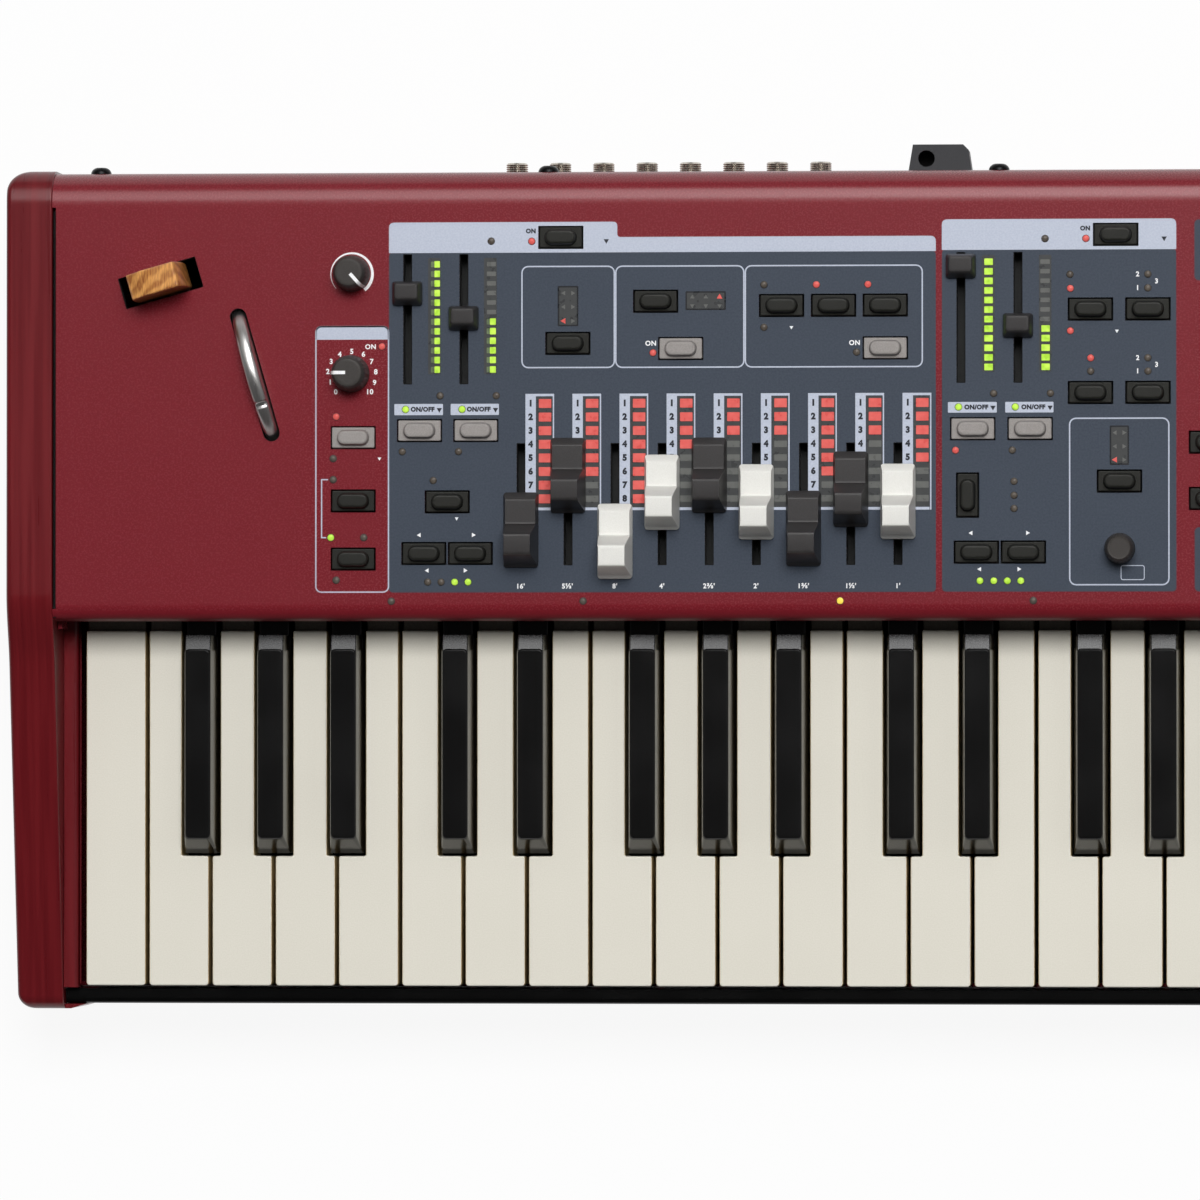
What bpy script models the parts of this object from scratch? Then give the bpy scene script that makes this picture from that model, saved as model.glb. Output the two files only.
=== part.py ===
import math

import bmesh
import bpy
from mathutils import Matrix, Vector

# Stage keyboard, 73 keys from E to E. Metres, +X to the player's right, +Y to the rear, +Z up.
# The origin is the middle of the footprint, on the surface that the feet stand on.
MM = 0.001

# Body
key_side_space = 7.65 * MM
cheek_thickness = 17.1 * MM
cheek_corner_radius = 8 * MM
cheek_front_height = 57 * MM
cheek_knee_drop = 5 * MM
cheek_knee_length = 5.5 * MM
cheek_front_rounding = 6 * MM
cheek_nose_width = 7.7 * MM
cheek_nose_point = 2.1 * MM
cheek_knee_inset = 2 * MM
body_height = 89 * MM
foot_height = 9 * MM
foot_radius = 12 * MM
foot_inset_x = 50 * MM
foot_inset_y = 40 * MM
sheet = 1.5 * MM
roll_radius = 12 * MM
seat_gap = 0.3 * MM

# Top panel
panel_depth = 166.6 * MM
panel_inset = 1 * MM
panel_side_slot = 1.4 * MM
lip_radius = 4 * MM
lip_height = 14 * MM
skirt_height = 26 * MM
pan_wall_height = 74.5 * MM
key_wall_height = 49 * MM
key_flange_width = 5.3 * MM
pan_front_wall_height = 21 * MM

# Keys
white_count = 43
white_pitch = 23.5 * MM
white_gap = 1.4 * MM
white_height = 20 * MM
key_top = 64 * MM
key_front_inset = 8.7 * MM
key_shown_length = 132.7 * MM
key_wall = 2.2 * MM
key_front_wall = 4 * MM
pivot_setback = 38 * MM
pivot_drop = 12 * MM
pivot_radius = 1.8 * MM
tail_length = 6 * MM
black_slot_width = 14.4 * MM
black_slot_length = 47.9 * MM
black_base_width = 12.6 * MM
black_top_width = 9.3 * MM
black_rise = 12 * MM
black_front_gap = 0.9 * MM
black_front_slope = 5.8 * MM
black_rear_slope = 5.4 * MM
black_rear_reveal = 3 * MM
black_tail_height = 6 * MM
bed_height = 18 * MM
bed_wall = 3 * MM
slip_inset = 2 * MM
slip_top_drop = 4 * MM
comb_rail = 4 * MM
comb_play = 1.5 * MM

# Panel controls
tilt = math.radians(16)
slider_slot_width = 3.3 * MM
slider_stem_width = 2.4 * MM
drawbar_pitch = 17.25 * MM
drawbar_slot_length = 44.7 * MM
drawbar_stem_length = 10 * MM
drawbar_base_width = 12.8 * MM
drawbar_taper = 0.11
fader_slot_length = 47.7 * MM
fader_stem_length = 4 * MM
fader_cap = Vector((10.6, 8, 7)) * MM
button_size = Vector((16, 7.9)) * MM
button_crown = Vector((12.4, 5)) * MM
button_play = 0.3 * MM
button_rise = 0.7 * MM
crown_rise = 1.5 * MM
web_thickness = 1 * MM
board_drop = 11 * MM
board_thickness = 1.6 * MM
knob_hole_play = 0.5 * MM
shaft_radius = 3 * MM

program_pitch = 20 * MM
program_margin = 14 * MM
vertical_play = 3 * MM

# Drawbar and fader caps
drawbar_reach = 13.8 * MM
drawbar_rise = 11.5 * MM
drawbar_lip_rise = 18 * MM
drawbar_lip_front = 8.2 * MM
drawbar_lip_rear = 4.2 * MM
drawbar_lip_edge = 1 * MM
cap_lift = 0.5 * MM
fader_bevel = Vector((1, 1.2)) * MM

# Pitch stick and modulation wheel
stick_slot = Vector((29.7, 11.7)) * MM
stick_width = 9.4 * MM
stick_flare = 10.5 * MM
stick_rise = 22 * MM
stick_pivot_drop = 26 * MM
stick_hub_radius = 6 * MM
pin_radius = 2 * MM
wheel_slot = Vector((50.6, 6.2)) * MM
wheel_radius = 30 * MM
wheel_width = 5 * MM
wheel_drop = 19.3 * MM
wheel_notch_angle = math.radians(23)
wheel_notch_radius = 1.8 * MM
bracket_play = 0.5 * MM

# Rear
jack_count = 8
jack_pitch = 16.1 * MM
jack_inset = 167.2 * MM
jack_case_width = 13 * MM
jack_case_depth = 28 * MM
jack_case_rise = 6 * MM
jack_board_drop = 8 * MM
jack_board_margin = 9 * MM
jack_plate_margin = 12 * MM
plate_drop = 20 * MM
jack_height = 52 * MM
jack_radius = 4.3 * MM
jack_bore_radius = 3.3 * MM
jack_reach = 7 * MM
anchor_inset = 324.6 * MM
anchor_width = 24 * MM
anchor_reach = 9.7 * MM
anchor_height = 14 * MM
anchor_hole_radius = 3.1 * MM
anchor_hole_inset = Vector((7, 5.2)) * MM
inlet_inset = 57.6 * MM
inlet_size = Vector((28, 20)) * MM
inlet_wall = 2.5 * MM
inlet_depth = 16 * MM
inlet_plate_width = 46 * MM
supply_left = 60 * MM
supply_right = 40 * MM
supply_depth = 70 * MM
supply_rise = 14 * MM

# Derived places
keys_left = -white_count * white_pitch / 2
cheek_inner = key_side_space - keys_left
half_width = cheek_inner + cheek_thickness
cheek_depth = key_front_inset + key_shown_length + panel_depth + panel_inset
overall_depth = cheek_depth + anchor_reach
front = -overall_depth / 2
rear = front + cheek_depth
top = foot_height + body_height
panel_half = cheek_inner - panel_side_slot
panel_rear = rear - panel_inset
panel_front = panel_rear - panel_depth
pan_half = cheek_inner - seat_gap
pan_rear = panel_rear - sheet - seat_gap
skirt_bottom = top - skirt_height
floor_top = foot_height + sheet
key_front = front + key_front_inset
slip_front = front + slip_inset
slip_rear = key_front - 1.2 * MM
pan_front = slip_rear + seat_gap
pivot_y = panel_front + pivot_setback
pivot_z = key_top - pivot_drop
tail_end = pivot_y + tail_length
white_width = white_pitch - white_gap
slot_front = key_front + black_slot_length
under_panel = top - sheet
web_top = under_panel - seat_gap
board_top = top - board_drop
stem_bottom = board_top + seat_gap
notch_radius = pivot_radius + seat_gap
jack_first_x = jack_inset - pan_half
jack_plate_left = jack_first_x - jack_plate_margin
jack_plate_right = jack_first_x + (jack_count - 1) * jack_pitch + jack_plate_margin
plate_bottom = jack_height - plate_drop
anchor_x = anchor_inset - pan_half
inlet_x = pan_half - inlet_inset

parts = None
cutters = None
materials = {}


def clear_scene():
    for old in list(bpy.data.objects):
        bpy.data.objects.remove(old, do_unlink=True)


def collection(name):
    made = bpy.data.collections.new(name)
    bpy.context.scene.collection.children.link(made)
    return made


def material(name, colour, roughness, metallic=0.0):
    if name not in materials:
        made = bpy.data.materials.new(name)
        made.use_nodes = True
        surface = made.node_tree.nodes["Principled BSDF"]
        surface.inputs["Base Color"].default_value = (*colour, 1)
        surface.inputs["Roughness"].default_value = roughness
        surface.inputs["Metallic"].default_value = metallic
        made.diffuse_color = (*colour, 1)
        materials[name] = made
    return materials[name]


red_metal = lambda: material("red powder coat", (0.27, 0.03, 0.045), 0.45)
red_wood = lambda: material("red stained wood", (0.12, 0.012, 0.016), 0.4)
ivory = lambda: material("ivory plastic", (0.75, 0.71, 0.61), 0.3)
black = lambda: material("black plastic", (0.012, 0.012, 0.012), 0.3)
grey = lambda: material("grey silicone", (0.36, 0.33, 0.31), 0.6)
dark = lambda: material("dark silicone", (0.03, 0.03, 0.025), 0.6)
white_cap = lambda: material("white plastic", (0.85, 0.84, 0.8), 0.4)
steel = lambda: material("zinc plated steel", (0.5, 0.5, 0.5), 0.35, 1.0)
board_green = lambda: material("green laminate", (0.02, 0.12, 0.05), 0.5)
wood = lambda: material("oiled wood", (0.55, 0.28, 0.09), 0.5)
rubber = lambda: material("black rubber", (0.02, 0.02, 0.02), 0.9)


def place(name, mesh, look):
    made = bpy.data.objects.new(name, mesh)
    mesh.materials.clear()
    mesh.materials.append(look)
    parts.objects.link(made)
    return made


def tool(name, mesh):
    made = bpy.data.objects.new(name, mesh)
    made.hide_render = True
    made.display_type = "WIRE"
    cutters.objects.link(made)
    return made


def join(target, operand, operation):
    operand.parent = target
    step = target.modifiers.new(operand.name, "BOOLEAN")
    step.operation = operation
    step.object = operand


def cut(target, mesh):
    join(target, tool(target.name + "_cut", mesh), "DIFFERENCE")


def unite(target, mesh):
    join(target, tool(target.name + "_add", mesh), "UNION")


def boxes(*extents):
    # One mesh of separate boxes, each given by its low and high corner
    shape = bmesh.new()
    for low, high in extents:
        low, high = Vector(low), Vector(high)
        size = Matrix.Diagonal((*(high - low), 1))
        bmesh.ops.create_cube(shape, size=1, matrix=Matrix.Translation((low + high) / 2) @ size)
    mesh = bpy.data.meshes.new("boxes")
    shape.to_mesh(mesh)
    shape.free()
    return mesh


def rounds(radius, low, high, centres, segments=16, turn=Matrix.Identity(4)):
    # One mesh of separate cylinders that run from low to high along the turned Z axis
    shape = bmesh.new()
    for centre in centres:
        middle = Matrix.Translation(Vector((0, 0, (low + high) / 2)))
        at = Matrix.Translation(Vector(centre)) @ turn @ middle
        bmesh.ops.create_cone(
            shape, cap_ends=True, segments=segments, radius1=radius, radius2=radius, depth=high - low, matrix=at
        )
    mesh = bpy.data.meshes.new("rounds")
    shape.to_mesh(mesh)
    shape.free()
    return mesh


def prism(points, low, high, axis="Z"):
    # A flat outline with a thickness. Across X its points are (y, z), across Y (x, z), across Z (x, y)
    curve = bpy.data.curves.new("outline", "CURVE")
    curve.dimensions = "2D"
    curve.fill_mode = "BOTH"
    curve.extrude = (high - low) / 2
    spline = curve.splines.new("POLY")
    spline.points.add(len(points) - 1)
    for point, (a, b) in zip(spline.points, points):
        point.co = (a, b, 0, 1)
    spline.use_cyclic_u = True
    drawn = bpy.data.objects.new("outline", curve)
    bpy.context.scene.collection.objects.link(drawn)
    bpy.context.view_layer.update()
    mesh = bpy.data.meshes.new_from_object(drawn.evaluated_get(bpy.context.evaluated_depsgraph_get()))
    bpy.data.objects.remove(drawn, do_unlink=True)
    shape = bmesh.new()
    shape.from_mesh(mesh)
    bmesh.ops.remove_doubles(shape, verts=shape.verts, dist=0.00001)
    turns = {
        "X": Matrix(((0, 0, 1), (1, 0, 0), (0, 1, 0))).to_4x4(),
        "Y": Matrix(((1, 0, 0), (0, 0, -1), (0, 1, 0))).to_4x4(),
        "Z": Matrix.Identity(4),
    }
    middle = (low + high) / 2
    shift = Matrix.Translation((0, 0, -middle if axis == "Y" else middle))
    bmesh.ops.transform(shape, matrix=turns[axis] @ shift, verts=shape.verts)
    bmesh.ops.recalc_face_normals(shape, faces=shape.faces)
    shape.to_mesh(mesh)
    shape.free()
    return mesh


def arc(centre, radius, start, end, steps):
    angles = (math.radians(start + (end - start) * i / steps) for i in range(steps + 1))
    return [(centre[0] + radius * math.cos(a), centre[1] + radius * math.sin(a)) for a in angles]


def merged(meshes):
    shape = bmesh.new()
    for mesh in meshes:
        shape.from_mesh(mesh)
    mesh = bpy.data.meshes.new("merged")
    shape.to_mesh(mesh)
    shape.free()
    return mesh


def evaluated(made):
    # The mesh of an object with its modifiers, after which the object itself isn't needed
    bpy.context.view_layer.update()
    mesh = bpy.data.meshes.new_from_object(made.evaluated_get(bpy.context.evaluated_depsgraph_get()))
    bpy.data.objects.remove(made, do_unlink=True)
    return mesh


def turned(name, profile, location, look, steps=24):
    # A profile at +X, from the top down its outer side, screwed round Z
    mesh = bpy.data.meshes.new(name)
    shape = bmesh.new()
    verts = [shape.verts.new((r, 0, z)) for r, z in profile]
    for a, b in zip(verts, verts[1:]):
        shape.edges.new((a, b))
    shape.to_mesh(mesh)
    shape.free()
    made = place(name, mesh, look)
    made.location = location
    screw = made.modifiers.new("turn", "SCREW")
    screw.steps = steps
    screw.render_steps = steps
    screw.use_merge_vertices = True
    screw.merge_threshold = 0.00001
    return made


# Body


def cheek(name, side):
    slope_front = front + cheek_front_rounding
    nose_top = foot_height + cheek_front_height
    knee = panel_front + cheek_knee_inset
    profile = [(front, foot_height)]
    profile += arc((slope_front, nose_top - cheek_front_rounding), cheek_front_rounding, 180, 95, 4)
    profile += [(knee, top - cheek_knee_drop), (knee + cheek_knee_length, top)]
    profile += arc((rear - roll_radius, top - roll_radius), roll_radius, 90, 0, 6)
    profile += [(rear, foot_height)]
    plan = [(cheek_inner, rear)]
    plan += [(cheek_inner, slip_front - seat_gap), (cheek_inner - cheek_nose_width, slip_front - seat_gap)]
    plan += [(cheek_inner - cheek_nose_point, front)]
    corner = half_width - cheek_corner_radius
    plan += arc((corner, front + cheek_corner_radius), cheek_corner_radius, 270, 360, 4)
    plan += arc((corner, rear - cheek_corner_radius), cheek_corner_radius, 0, 90, 4)
    inner = cheek_inner - cheek_nose_width - 1 * MM
    low, high = sorted((side * inner, side * (half_width + 1 * MM)))
    made = place(name, prism(profile, low, high, "X"), red_wood())
    outline = prism([(side * x, y) for x, y in plan], foot_height - 1 * MM, top + 1 * MM)
    join(made, tool(name + "_plan", outline), "INTERSECT")


def base_pan():
    outer = ((-pan_half, pan_front, foot_height), (pan_half, pan_rear, foot_height + pan_wall_height))
    made = place("base_pan", boxes(outer), red_metal())
    inside = pan_half - sheet
    high = top + 1 * MM
    wall_end = panel_front - 1 * MM
    hollow = ((-inside, pan_front + sheet, floor_top), (inside, pan_rear - sheet, high))
    cut(made, boxes(hollow))
    key_side = foot_height + key_wall_height
    cut(made, boxes(((-half_width, front, key_side), (half_width, wall_end, high))))
    front_wall = foot_height + pan_front_wall_height
    cut(made, boxes(((-inside, front, front_wall), (inside, pan_front + 2 * sheet, high))))
    flange_front = pan_front + sheet
    flange_inner = inside - key_flange_width + sheet
    flanges = [
        ((-inside - sheet / 2, flange_front, key_side - sheet), (-flange_inner, wall_end, key_side)),
        ((flange_inner, flange_front, key_side - sheet), (inside + sheet / 2, wall_end, key_side)),
    ]
    unite(made, boxes(*flanges))
    # The rear wall is open to the top where the jack plate and the inlet's plate stand in it
    windows = [(jack_plate_left, jack_plate_right), (inlet_x - inlet_plate_width / 2, inlet_x + inlet_plate_width / 2)]
    behind = pan_rear - 2 * sheet
    low_z = plate_bottom - seat_gap
    cut(made, boxes(*[((x0 - seat_gap, behind, low_z), (x1 + seat_gap, rear, high)) for x0, x1 in windows]))


def key_slip():
    slip_top = key_top - slip_top_drop
    radius = 2 * MM
    outline = [(slip_rear, slip_top), (slip_rear, foot_height), (slip_front, foot_height)]
    outline += arc((slip_front + radius, slip_top - radius), radius, 180, 90, 4)
    place("key_slip", prism(outline, -pan_half, pan_half, "X"), black())


def feet():
    for label, side, y in (
        ("front_left", -1, front),
        ("front_right", 1, front),
        ("rear_left", -1, rear),
        ("rear_right", 1, rear),
    ):
        inward = foot_inset_y if y < 0 else -foot_inset_y
        foot_top = foot_height - seat_gap
        profile = [(0, foot_top), (foot_radius, foot_top), (foot_radius, 2 * MM), (foot_radius - 2 * MM, 0), (0, 0)]
        turned("foot_" + label, profile, (side * (half_width - foot_inset_x), y + inward, 0), rubber(), 20)


# Keys

# White keys from E, and for each black key how far it stands off the gap to its left neighbour's right
white_names = "EFGABCD"
black_shift = {"F": -3.5 * MM, "G": 0.0, "A": 3.5 * MM, "C": -2.2 * MM, "D": 2.2 * MM}


def white_name(i):
    return white_names[i % len(white_names)]


def white_left(i):
    return keys_left + i * white_pitch


def black_x(i):
    # Centre of the black key to the right of white key i, or None where there is none
    if white_name(i) not in black_shift or i >= white_count - 1:
        return None
    return white_left(i + 1) + black_shift[white_name(i)]


def white_key_mesh(i):
    left = white_left(i) + white_gap / 2
    right = left + white_width
    bottom = key_top - white_height
    edge = 0.8 * MM
    under_tail = pivot_z + seat_gap
    heel = pivot_y - tail_length
    profile = [(key_front, bottom), (key_front, key_top - edge), (key_front + edge, key_top), (tail_end, key_top)]
    profile += [(tail_end, under_tail)]
    profile += arc((pivot_y, pivot_z), notch_radius, 10, 170, 6)
    profile += [(heel, under_tail), (heel, bottom)]
    made = place("white_key", prism(profile, left, right, "X"), ivory())
    low = white_left(i)
    high = low + white_pitch
    notches = []
    inner_left = left
    inner_right = right
    half = black_slot_width / 2
    if i > 0 and black_x(i - 1) is not None:
        inner_left = black_x(i - 1) + half
        notches.append(((low - half, slot_front, 0), (inner_left, tail_end + 1 * MM, top)))
    if black_x(i) is not None:
        inner_right = black_x(i) - half
        notches.append(((inner_right, slot_front, 0), (high + half, tail_end + 1 * MM, top)))
    if notches:
        cut(made, boxes(*notches))
    cavity_low = (inner_left + key_wall, key_front + key_front_wall, bottom - 1 * MM)
    cavity_high = (inner_right - key_wall, heel - key_wall, key_top - key_wall)
    cut(made, boxes((cavity_low, cavity_high)))
    return evaluated(made)


def black_key_mesh(i):
    x = black_x(i)
    half = black_base_width / 2
    key_bottom = key_top - white_height + 2 * MM
    nose = slot_front + black_front_gap
    heel = pivot_y - tail_length
    under_tail = pivot_z + seat_gap
    tail = tail_end + comb_rail + 1 * MM
    under_rail = key_top - black_tail_height
    profile = [(nose, key_bottom), (nose, key_top), (tail, key_top), (tail, under_rail)]
    profile += [(tail_end - comb_play, under_rail), (tail_end - comb_play, under_tail)]
    profile += arc((pivot_y, pivot_z), notch_radius, 10, 170, 6)
    profile += [(heel, under_tail), (heel, key_bottom)]
    made = place("black_key", prism(profile, x - half, x + half, "X"), black())
    wall = key_wall
    cavity = ((x - half + wall, nose + wall, 0), (x + half - wall, heel - wall, key_top - wall))
    cut(made, boxes(cavity))
    back = panel_front - black_rear_reveal
    cap = boxes(((x - half, nose, key_top - wall / 2), (x + half, back, key_top + black_rise)))
    inset = (black_base_width - black_top_width) / 2
    for vertex in cap.vertices:
        if vertex.co.z > key_top:
            vertex.co.x += inset if vertex.co.x < x else -inset
            vertex.co.y += black_front_slope if vertex.co.y < back - 1 * MM else -black_rear_slope
        else:
            vertex.co.x += 0.05 * MM if vertex.co.x < x else -0.05 * MM
            vertex.co.y += 0.05 * MM if vertex.co.y < back - 1 * MM else 0
    unite(made, cap)
    return evaluated(made)


def keys():
    single = len(white_names)
    for i in range(single):
        place(f"white_key_{i + 1}", white_key_mesh(i), ivory())
    lone = [i for i in range(single) if black_x(i) is not None]
    for number, i in enumerate(lone):
        place(f"black_key_{number + 1}", black_key_mesh(i), black())
    rail_low = pivot_z + 1 * MM
    rail_left = white_left(single) + white_gap
    rail_right = -keys_left - white_gap
    rail_back = tail_end + comb_rail
    white_rail = ((rail_left, tail_end - 0.5 * MM, rail_low), (rail_right, rail_back, rail_low + comb_rail))
    whites = place("white_keys_upper", boxes(white_rail), ivory())
    unite(whites, merged([white_key_mesh(i) for i in range(single, white_count)]))
    upper = [i for i in range(single, white_count) if black_x(i) is not None]
    rail_front = rail_back + 0.5 * MM
    rail_ends = (black_x(upper[0]) - black_base_width / 4, black_x(upper[-1]) + black_base_width / 4)
    under_rail = key_top - black_tail_height + 0.5 * MM
    black_rail = ((rail_ends[0], rail_front, under_rail), (rail_ends[1], rail_front + comb_rail, key_top - 0.5 * MM))
    blacks = place("black_keys_upper", boxes(black_rail), black())
    unite(blacks, merged([black_key_mesh(i) for i in upper]))


def key_frame():
    bed_top = floor_top + bed_height
    low = floor_top + seat_gap
    y0 = pan_front + sheet + 1 * MM
    y1 = tail_end + 4 * MM
    ridge_front = pivot_y - 4 * MM
    rail_top = pivot_z
    outline = [(y0, low), (y0 + bed_wall, low), (y0 + bed_wall, bed_top - bed_wall)]
    outline += [(y1 - bed_wall, bed_top - bed_wall), (y1 - bed_wall, low), (y1, low), (y1, rail_top - 3 * MM)]
    outline += [(pivot_y + 3 * MM, rail_top - 3 * MM), (pivot_y + 3 * MM, rail_top)]
    outline += arc((pivot_y, pivot_z), pivot_radius, 0, 180, 6)
    outline += [(ridge_front, rail_top), (ridge_front, bed_top), (y0, bed_top)]
    half = -keys_left
    place("key_frame", prism(outline, -half, half, "X"), steel())


# Panel controls. Their places are in millimetres from the panel's front left or front right corner


def from_left(*places):
    return [Vector((x * MM - panel_half, y * MM + panel_front)) for x, y in places]


def from_right(*places):
    return [Vector((panel_half - x * MM, y * MM + panel_front)) for x, y in places]


def grid(columns, rows):
    return [(x, y) for y in rows for x in columns]


def web_round(places):
    # A rectangle a little larger than the buttons at these places
    margin = Vector((8.8, 5.4)) * MM
    low = Vector((min(p.x for p in places), min(p.y for p in places))) - margin
    high = Vector((max(p.x for p in places), max(p.y for p in places))) + margin
    return [low, Vector((high.x, low.y)), high, Vector((low.x, high.y))]


# Rows of small buttons share these distances from the panel's front edge
front_row = 26.35
rear_row = 71.35
fader_columns = (459.5, 438.5, 417.5)

buttons = {
    "rotary": from_left((109.8, 68.85), (109.8, 45.65), (109.8, 24.35)),
    "organ": from_left(
        *[(186.1, 141.95), (188.7, 103.15), (220.9, 118.45), (230.1, 101.15), (267, 116.75), (286, 116.75)],
        *[(304.9, 116.75), (304.9, 101.15), (134.2, rear_row), (154.9, rear_row), (144.4, 45.25)],
        *[(135.8, front_row), (152.9, front_row)],
    ),
    "piano": from_left(
        *[(388.9, 142.25), (379.7, 115.05), (400.6, 115.05), (379.7, 84.65), (400.6, 84.65)],
        *[(336.8, 71.55), (357.7, 71.55), (338.1, 26.55), (355.2, 26.55), (390.2, 52.35)],
    ),
    "synth": from_right(*grid((*fader_columns, 381.5, 351.5, 321.5, 291.5, 261.5), (rear_row, front_row))),
    "effects": from_right(*grid((211.5, 171.5, 131.5, 91.5, 51.5), (101.95, 45.95, front_row))),
}

# The soft web that joins a section's buttons under the panel, as an outline round its holes
webs = {
    "rotary": web_round(buttons["rotary"]),
    "organ": from_left(
        *[(126.5, 20.95), (162.5, 20.95), (162.5, 74.95), (193.5, 74.95), (193.5, 96.95), (314.5, 96.95)],
        *[(314.5, 121.95), (195.5, 121.95), (195.5, 146.45), (177, 146.45), (177, 82.95), (126.5, 82.95)],
    ),
    "piano": from_left(
        *[(329, 20.95), (364.5, 20.95), (364.5, 65.95), (371, 65.95), (371, 46.95), (409.5, 46.95)],
        *[(409.5, 146.95), (371, 146.95), (371, 77.95), (329, 77.95)],
    ),
    "synth": web_round(buttons["synth"]),
    "effects": from_right(
        *[(220.5, 20.95), (42.5, 20.95), (42.5, 106.95), (220.5, 106.95)],
        *[(220.5, 96.95), (53.5, 96.95), (53.5, 50.95), (220.5, 50.95)],
    ),
}

# Between piano and synth there are as many columns of program buttons as fit
program_first = from_left((423.7, 66.45))[0]
program_room = webs["synth"][0].x - program_margin - button_size.x / 2 - program_first.x
program_columns = 1 + max(0, int(program_room / program_pitch))
program_middle = program_first.x + (program_columns - 1) * program_pitch / 2
buttons["program"] = [
    program_first + Vector((column * program_pitch, -row * 20.5 * MM))
    for row in range(2)
    for column in range(program_columns)
]
webs["program"] = web_round(buttons["program"])

# Faders: the slot's middle, and how far the cap stands up the slot from there
fader_row = 112.15
faders = {
    "organ_fader_a": (*from_left((129.8, fader_row)), 9.4 * MM),
    "organ_fader_b": (*from_left((150.5, fader_row)), 0.3 * MM),
    "piano_fader_a": (*from_left((332.5, fader_row)), 18.7 * MM),
    "piano_fader_b": (*from_left((353.3, fader_row)), -3 * MM),
}
for letter, column, rise in zip("abc", fader_columns, (12, 4, -6)):
    faders[f"synth_fader_{letter}"] = (*from_right((column, fader_row)), rise * MM)

# Drawbar places up their slots from the middle, as they are drawn in the photograph
drawbar_first = from_left((171.5, 44.3))[0]
drawbar_rest = [y * MM for y in (-9.4, 10.5, -13.6, 4.3, 10.5, 0.7, -9, 5.3, 0.8)]
white_drawbars = (3, 4, 6, 9)

# Knobs: place, radius and height
knobs = {
    "master_level_knob": (*from_left((109.4, 128.95)), 6.6 * MM, 13 * MM),
    "drive_knob": (*from_left((109, 92.25)), 6.8 * MM, 13 * MM),
    "model_dial": (*from_left((390.3, 27.85)), 5.6 * MM, 12 * MM),
    "program_dial": (Vector((program_middle, panel_front + 26.95 * MM)), 8 * MM, 13 * MM),
    "filter_knob": (*from_right((321.5, 101.95)), 6.8 * MM, 13 * MM),
    "reverb_knob": (*from_right((21.5, 127.95)), 6.8 * MM, 13 * MM),
}

stick_place = from_left((38.7, 125.85))[0].to_3d()
wheel_place = from_left((73.5, 91.95))[0].to_3d()
vertical_button = from_left((334.9, 47.35))[0]


def drawbar_x(i):
    return drawbar_first.x + i * drawbar_pitch


def jack_x(i):
    return jack_first_x + i * jack_pitch


def wall_plate(left, right):
    # A plate that stands in a window of the pan's rear wall, under the top panel's skirt
    return boxes(((left, pan_rear - sheet - 2 * seat_gap, plate_bottom), (right, pan_rear, skirt_bottom - seat_gap)))


def button_boxes(places, size, low, high):
    half = size / 2
    return boxes(*[((x - half.x, y - half.y, low), (x + half.x, y + half.y, high)) for x, y in places])


def top_panel():
    profile = [(panel_front, top - lip_height)]
    profile += arc((panel_front + lip_radius, top - lip_radius), lip_radius, 180, 90, 4)
    profile += arc((panel_rear - roll_radius, top - roll_radius), roll_radius, 90, 0, 6)
    profile += [(panel_rear, skirt_bottom)]
    shape = bmesh.new()
    verts = [shape.verts.new((-panel_half, y, z)) for y, z in profile]
    edges = [shape.edges.new(pair) for pair in zip(verts, verts[1:])]
    spread = bmesh.ops.extrude_edge_only(shape, edges=edges)["geom"]
    moved = [item for item in spread if isinstance(item, bmesh.types.BMVert)]
    bmesh.ops.translate(shape, verts=moved, vec=(2 * panel_half, 0, 0))
    shape.normal_update()
    if sum(face.normal.z for face in shape.faces) < 0:
        bmesh.ops.reverse_faces(shape, faces=shape.faces)
    mesh = bpy.data.meshes.new("top_panel")
    shape.to_mesh(mesh)
    shape.free()
    made = place("top_panel", mesh, red_metal())
    thicken = made.modifiers.new("sheet", "SOLIDIFY")
    thicken.thickness = sheet
    thicken.offset = -1
    low = under_panel - vertical_play
    high = top + vertical_play
    places = [spot for section in buttons.values() for spot in section]
    play = Vector((button_play, button_play)) * 2
    slots = [(drawbar_x(i), drawbar_first.y, drawbar_slot_length) for i in range(len(drawbar_rest))]
    slots += [(spot.x, spot.y, fader_slot_length) for spot, _ in faders.values()]
    half = slider_slot_width / 2
    cut(made, button_boxes(places, button_size + play, low, high))
    cut(made, button_boxes([vertical_button], button_size.yx + play, low, high))
    cut(made, boxes(*[((x - half, y - long / 2, low), (x + half, y + long / 2, high)) for x, y, long in slots]))
    centres = [spot.to_3d() for spot, _, _ in knobs.values()]
    cut(made, rounds(shaft_radius + knob_hole_play, low, high, centres))
    half_stick = stick_slot / 2
    opening = tool("stick_slot", boxes(((*-half_stick, low), (*half_stick, high))))
    opening.location = stick_place
    opening.rotation_euler.z = tilt
    join(made, opening, "DIFFERENCE")
    end = wheel_slot.y / 2
    reach = wheel_slot.x / 2 - end
    outline = arc((0, reach), end, 0, 180, 8) + arc((0, -reach), end, 180, 360, 8)
    opening = tool("wheel_slot", prism(outline, low, high))
    opening.location = wheel_place
    opening.rotation_euler.z = tilt
    join(made, opening, "DIFFERENCE")


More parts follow.
